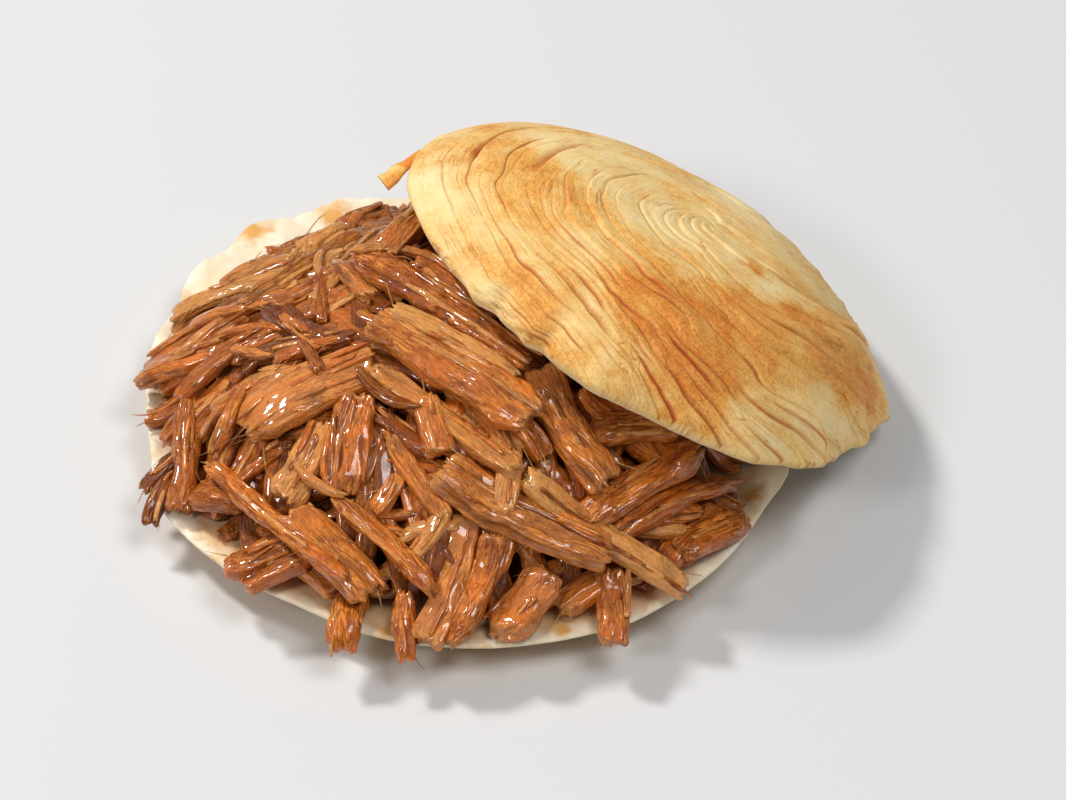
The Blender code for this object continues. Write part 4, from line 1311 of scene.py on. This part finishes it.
def add_meat(name, tube, made, material, node=None):
    """One piece from many bent tubes: the points, straightened places and looks of each."""
    points, places, looks = (np.concatenate(parts) for parts in zip(*made))
    corners = np.concatenate([tube.corners + len(tube.share) * i for i in range(len(made))])
    sizes = np.tile(tube.sizes, len(made))
    mesh = bpy.data.meshes.new(name)
    mesh.vertices.add(len(points))
    mesh.vertices.foreach_set("co", points.astype(np.float32).ravel())
    mesh.loops.add(len(corners))
    mesh.loops.foreach_set("vertex_index", corners.astype(np.int32))
    mesh.polygons.add(len(sizes))
    mesh.polygons.foreach_set("loop_start", (np.cumsum(sizes) - sizes).astype(np.int32))
    mesh.update(calc_edges=True)
    mesh.validate()
    paint_points(mesh, "meat_look", looks.T)
    layer = mesh.attributes.new("shred_place", "FLOAT_VECTOR", "POINT")
    layer.data.foreach_set("vector", places.astype(np.float32).ravel())
    add_piece(mesh, material, node)


def make_shreds(name, shreds, material):
    around, along, pitch, seed, tone = SHRED_KINDS[name]
    tube = Tube(around, along)
    chance = random.Random(seed)
    made = []
    fringe = 0.12 * (1 - tube.ends(0.07))
    for shred in shreds:
        points, places, groove_shade_and_sauce = shape_shred(tube, shred, pitch)
        greyness, lightness = shred_tone(shred, chance, tone)
        made.append((points, places, rows(greyness, groove_shade_and_sauce, lightness + fringe)))
    add_meat(name, tube, made, material, "meat_heap")


def make_fibres(shreds, material):
    """Hair-like fibres that lift from the ends and edges of the shreds."""
    chance = random.Random(FIBRE_SEED)
    tube = Tube(5, 9)
    share = tube.share
    made = []
    for number in range(FIBRE_COUNT):
        shred = chance.choice(shreds)
        start = chance.choice((chance.uniform(0, 0.12), chance.uniform(0.88, 1), chance.random()))
        root = Vector(shred.at(np.array([start]))[0])
        ahead = Vector(shred.along(np.array([start]))[0])
        if start < 0.2:
            ahead = -ahead
        side = Vector((-ahead.y, ahead.x, 0)).normalized() * chance.uniform(-1, 1)
        root = root + side * shred.width * 0.42 + Vector((0, 0, shred.thickness * 0.42))
        length = chance.uniform(*FIBRE_LENGTH) * MM
        way = (ahead + side * 0.5).normalized()
        rise = chance.uniform(-0.05, 0.35) if abs(root.x) < 45 * MM else -0.1
        points = []
        for step in SHRED_STATIONS:
            lift = Vector((0, 0, rise * math.sin(step * 2.4) * length))
            points.append(root + way * step * length + side * step * step * length * 0.3 + lift)
        fibre = Shred(points, chance.uniform(*FIBRE_WIDTH) * MM, FIBRE_THICKNESS, 3000 + number)
        along = fibre.along(share)
        level = rows(-along[:, 1], along[:, 0], 0)
        thin = 1 - 0.7 * share
        bent = fibre.at(share) + level * rows(tube.x * fibre.width / 2 * thin)
        bent += np.cross(along, level) * rows(tube.y * fibre.thickness / 2 * thin)
        look = (chance.uniform(0, 0.6), 0, chance.uniform(0.5, 0.9))
        made.append((bent, rows(tube.x, tube.y, share * 5 + number), np.tile(look, (len(bent), 1))))
    add_meat("pork_fibres", tube, made, material)


def make_core(ceiling, material):
    """Dark lumpy body of the heap, just inside the shreds; its near-black colour is partly painted shade in
    the gaps between them.
    """
    profile = [(HEAP_FOOT_RADIUS * i / CORE_RINGS, 1) for i in range(CORE_RINGS + 1)]
    profile += [(HEAP_FOOT_RADIUS * i / CORE_FLOOR_RINGS, 0) for i in range(CORE_FLOOR_RINGS, -1, -1)]
    bm = turned(profile, CORE_TURN_STEPS)
    for v in bm.verts:
        v.co.x = v.co.x * CORE_SPREAD + HEAP_MIDDLE.x
        v.co.y = v.co.y * CORE_SPREAD + HEAP_MIDDLE.y
        low = bread_top(v.co.x, v.co.y) + TOUCH_GAP
        v.co.z = heap_core_top(v.co.x, v.co.y, ceiling) - CORE_SHRINK if v.co.z > 0.5 else low
    mesh = closed_mesh(bm, "pork_core")
    points = points_of(mesh)
    top = smooth_between(points[:, 2], 9.5 * MM, 11.5 * MM)
    points[:, 2] += top * (layered_noise(points / (3.2 * MM), 44, 2) - 0.9) * 0.55 * MM
    set_points(mesh, points)
    add_piece(mesh, material, "meat_heap")


# Floor, lights and camera

def make_stage():
    bm = bmesh.new()
    bmesh.ops.create_grid(bm, x_segments=2, y_segments=2, size=3)
    floor = put("floor", mesh_from(bm, "floor"))
    material, n, shader = new_material("pale_floor")
    n.feed(shader, {"Base Color": FLOOR_COLOUR, "Roughness": 0.85})
    floor.data.materials.append(material)


def make_lights():
    world = bpy.data.worlds.new("studio")
    world.use_nodes = True
    background = world.node_tree.nodes["Background"]
    background.inputs["Color"].default_value = (1, 1, 1, 1)
    background.inputs["Strength"].default_value = WORLD_STRENGTH
    bpy.context.scene.world = world
    for name, (place, size, power, colour) in LIGHTS.items():
        data = bpy.data.lights.new(name, "AREA")
        data.shape = "DISK"
        data.size = size
        data.energy = power
        data.color = colour
        light = put(name, data)
        light.location = place
        light.rotation_euler = (LIGHT_AIM - Vector(place)).to_track_quat("-Z", "Y").to_euler()


def make_camera():
    data = bpy.data.cameras.new("camera")
    data.lens = CAMERA_LENS
    data.sensor_width = CAMERA_SENSOR
    data.clip_start = 0.01
    camera = put("camera", data)
    back = Vector((0, -math.cos(CAMERA_ELEVATION), math.sin(CAMERA_ELEVATION)))
    place = CAMERA_STAND + back * CAMERA_DISTANCE
    aim = (CAMERA_TARGET - place).to_track_quat("-Z", "Y").to_matrix().to_4x4()
    camera.matrix_world = Matrix.Translation(place) @ aim @ Matrix.Rotation(CAMERA_ROLL, 4, "Z")
    bpy.context.scene.camera = camera


def build():
    speckle, tone, fibres = make_flour_speckle(), make_uneven_tone(), make_fibre_grain()
    crust, crumb = make_crust(speckle, tone), make_crumb(speckle, tone)
    meat, deep = make_meat(fibres, tone), make_sauce_and_shade_core(fibres, tone)
    make_lower_bun(crumb)
    make_upper_bun(crust)
    make_strip(crust)
    ceiling = Ceiling()
    laid, fill, bed, foot = lay_heap(ceiling)
    make_core(ceiling, deep)
    heap = {
        "pork_slabs": [s for s in laid if s.width >= SLAB_WIDTH],
        "pork_shreds": [s for s in laid if STRAND_WIDTH <= s.width < SLAB_WIDTH],
        "pork_strands": [s for s in laid if s.width < STRAND_WIDTH],
        "pork_threads": fill,
        "pork_bed": bed,
        "pork_foot": foot,
        "pork_strings": lay_strings(laid),
    }
    for name, shreds in heap.items():
        make_shreds(name, shreds, meat)
    make_fibres(laid, meat)
    make_stage()
    make_lights()
    make_camera()
    bpy.context.scene.view_settings.view_transform = "Standard"


build()
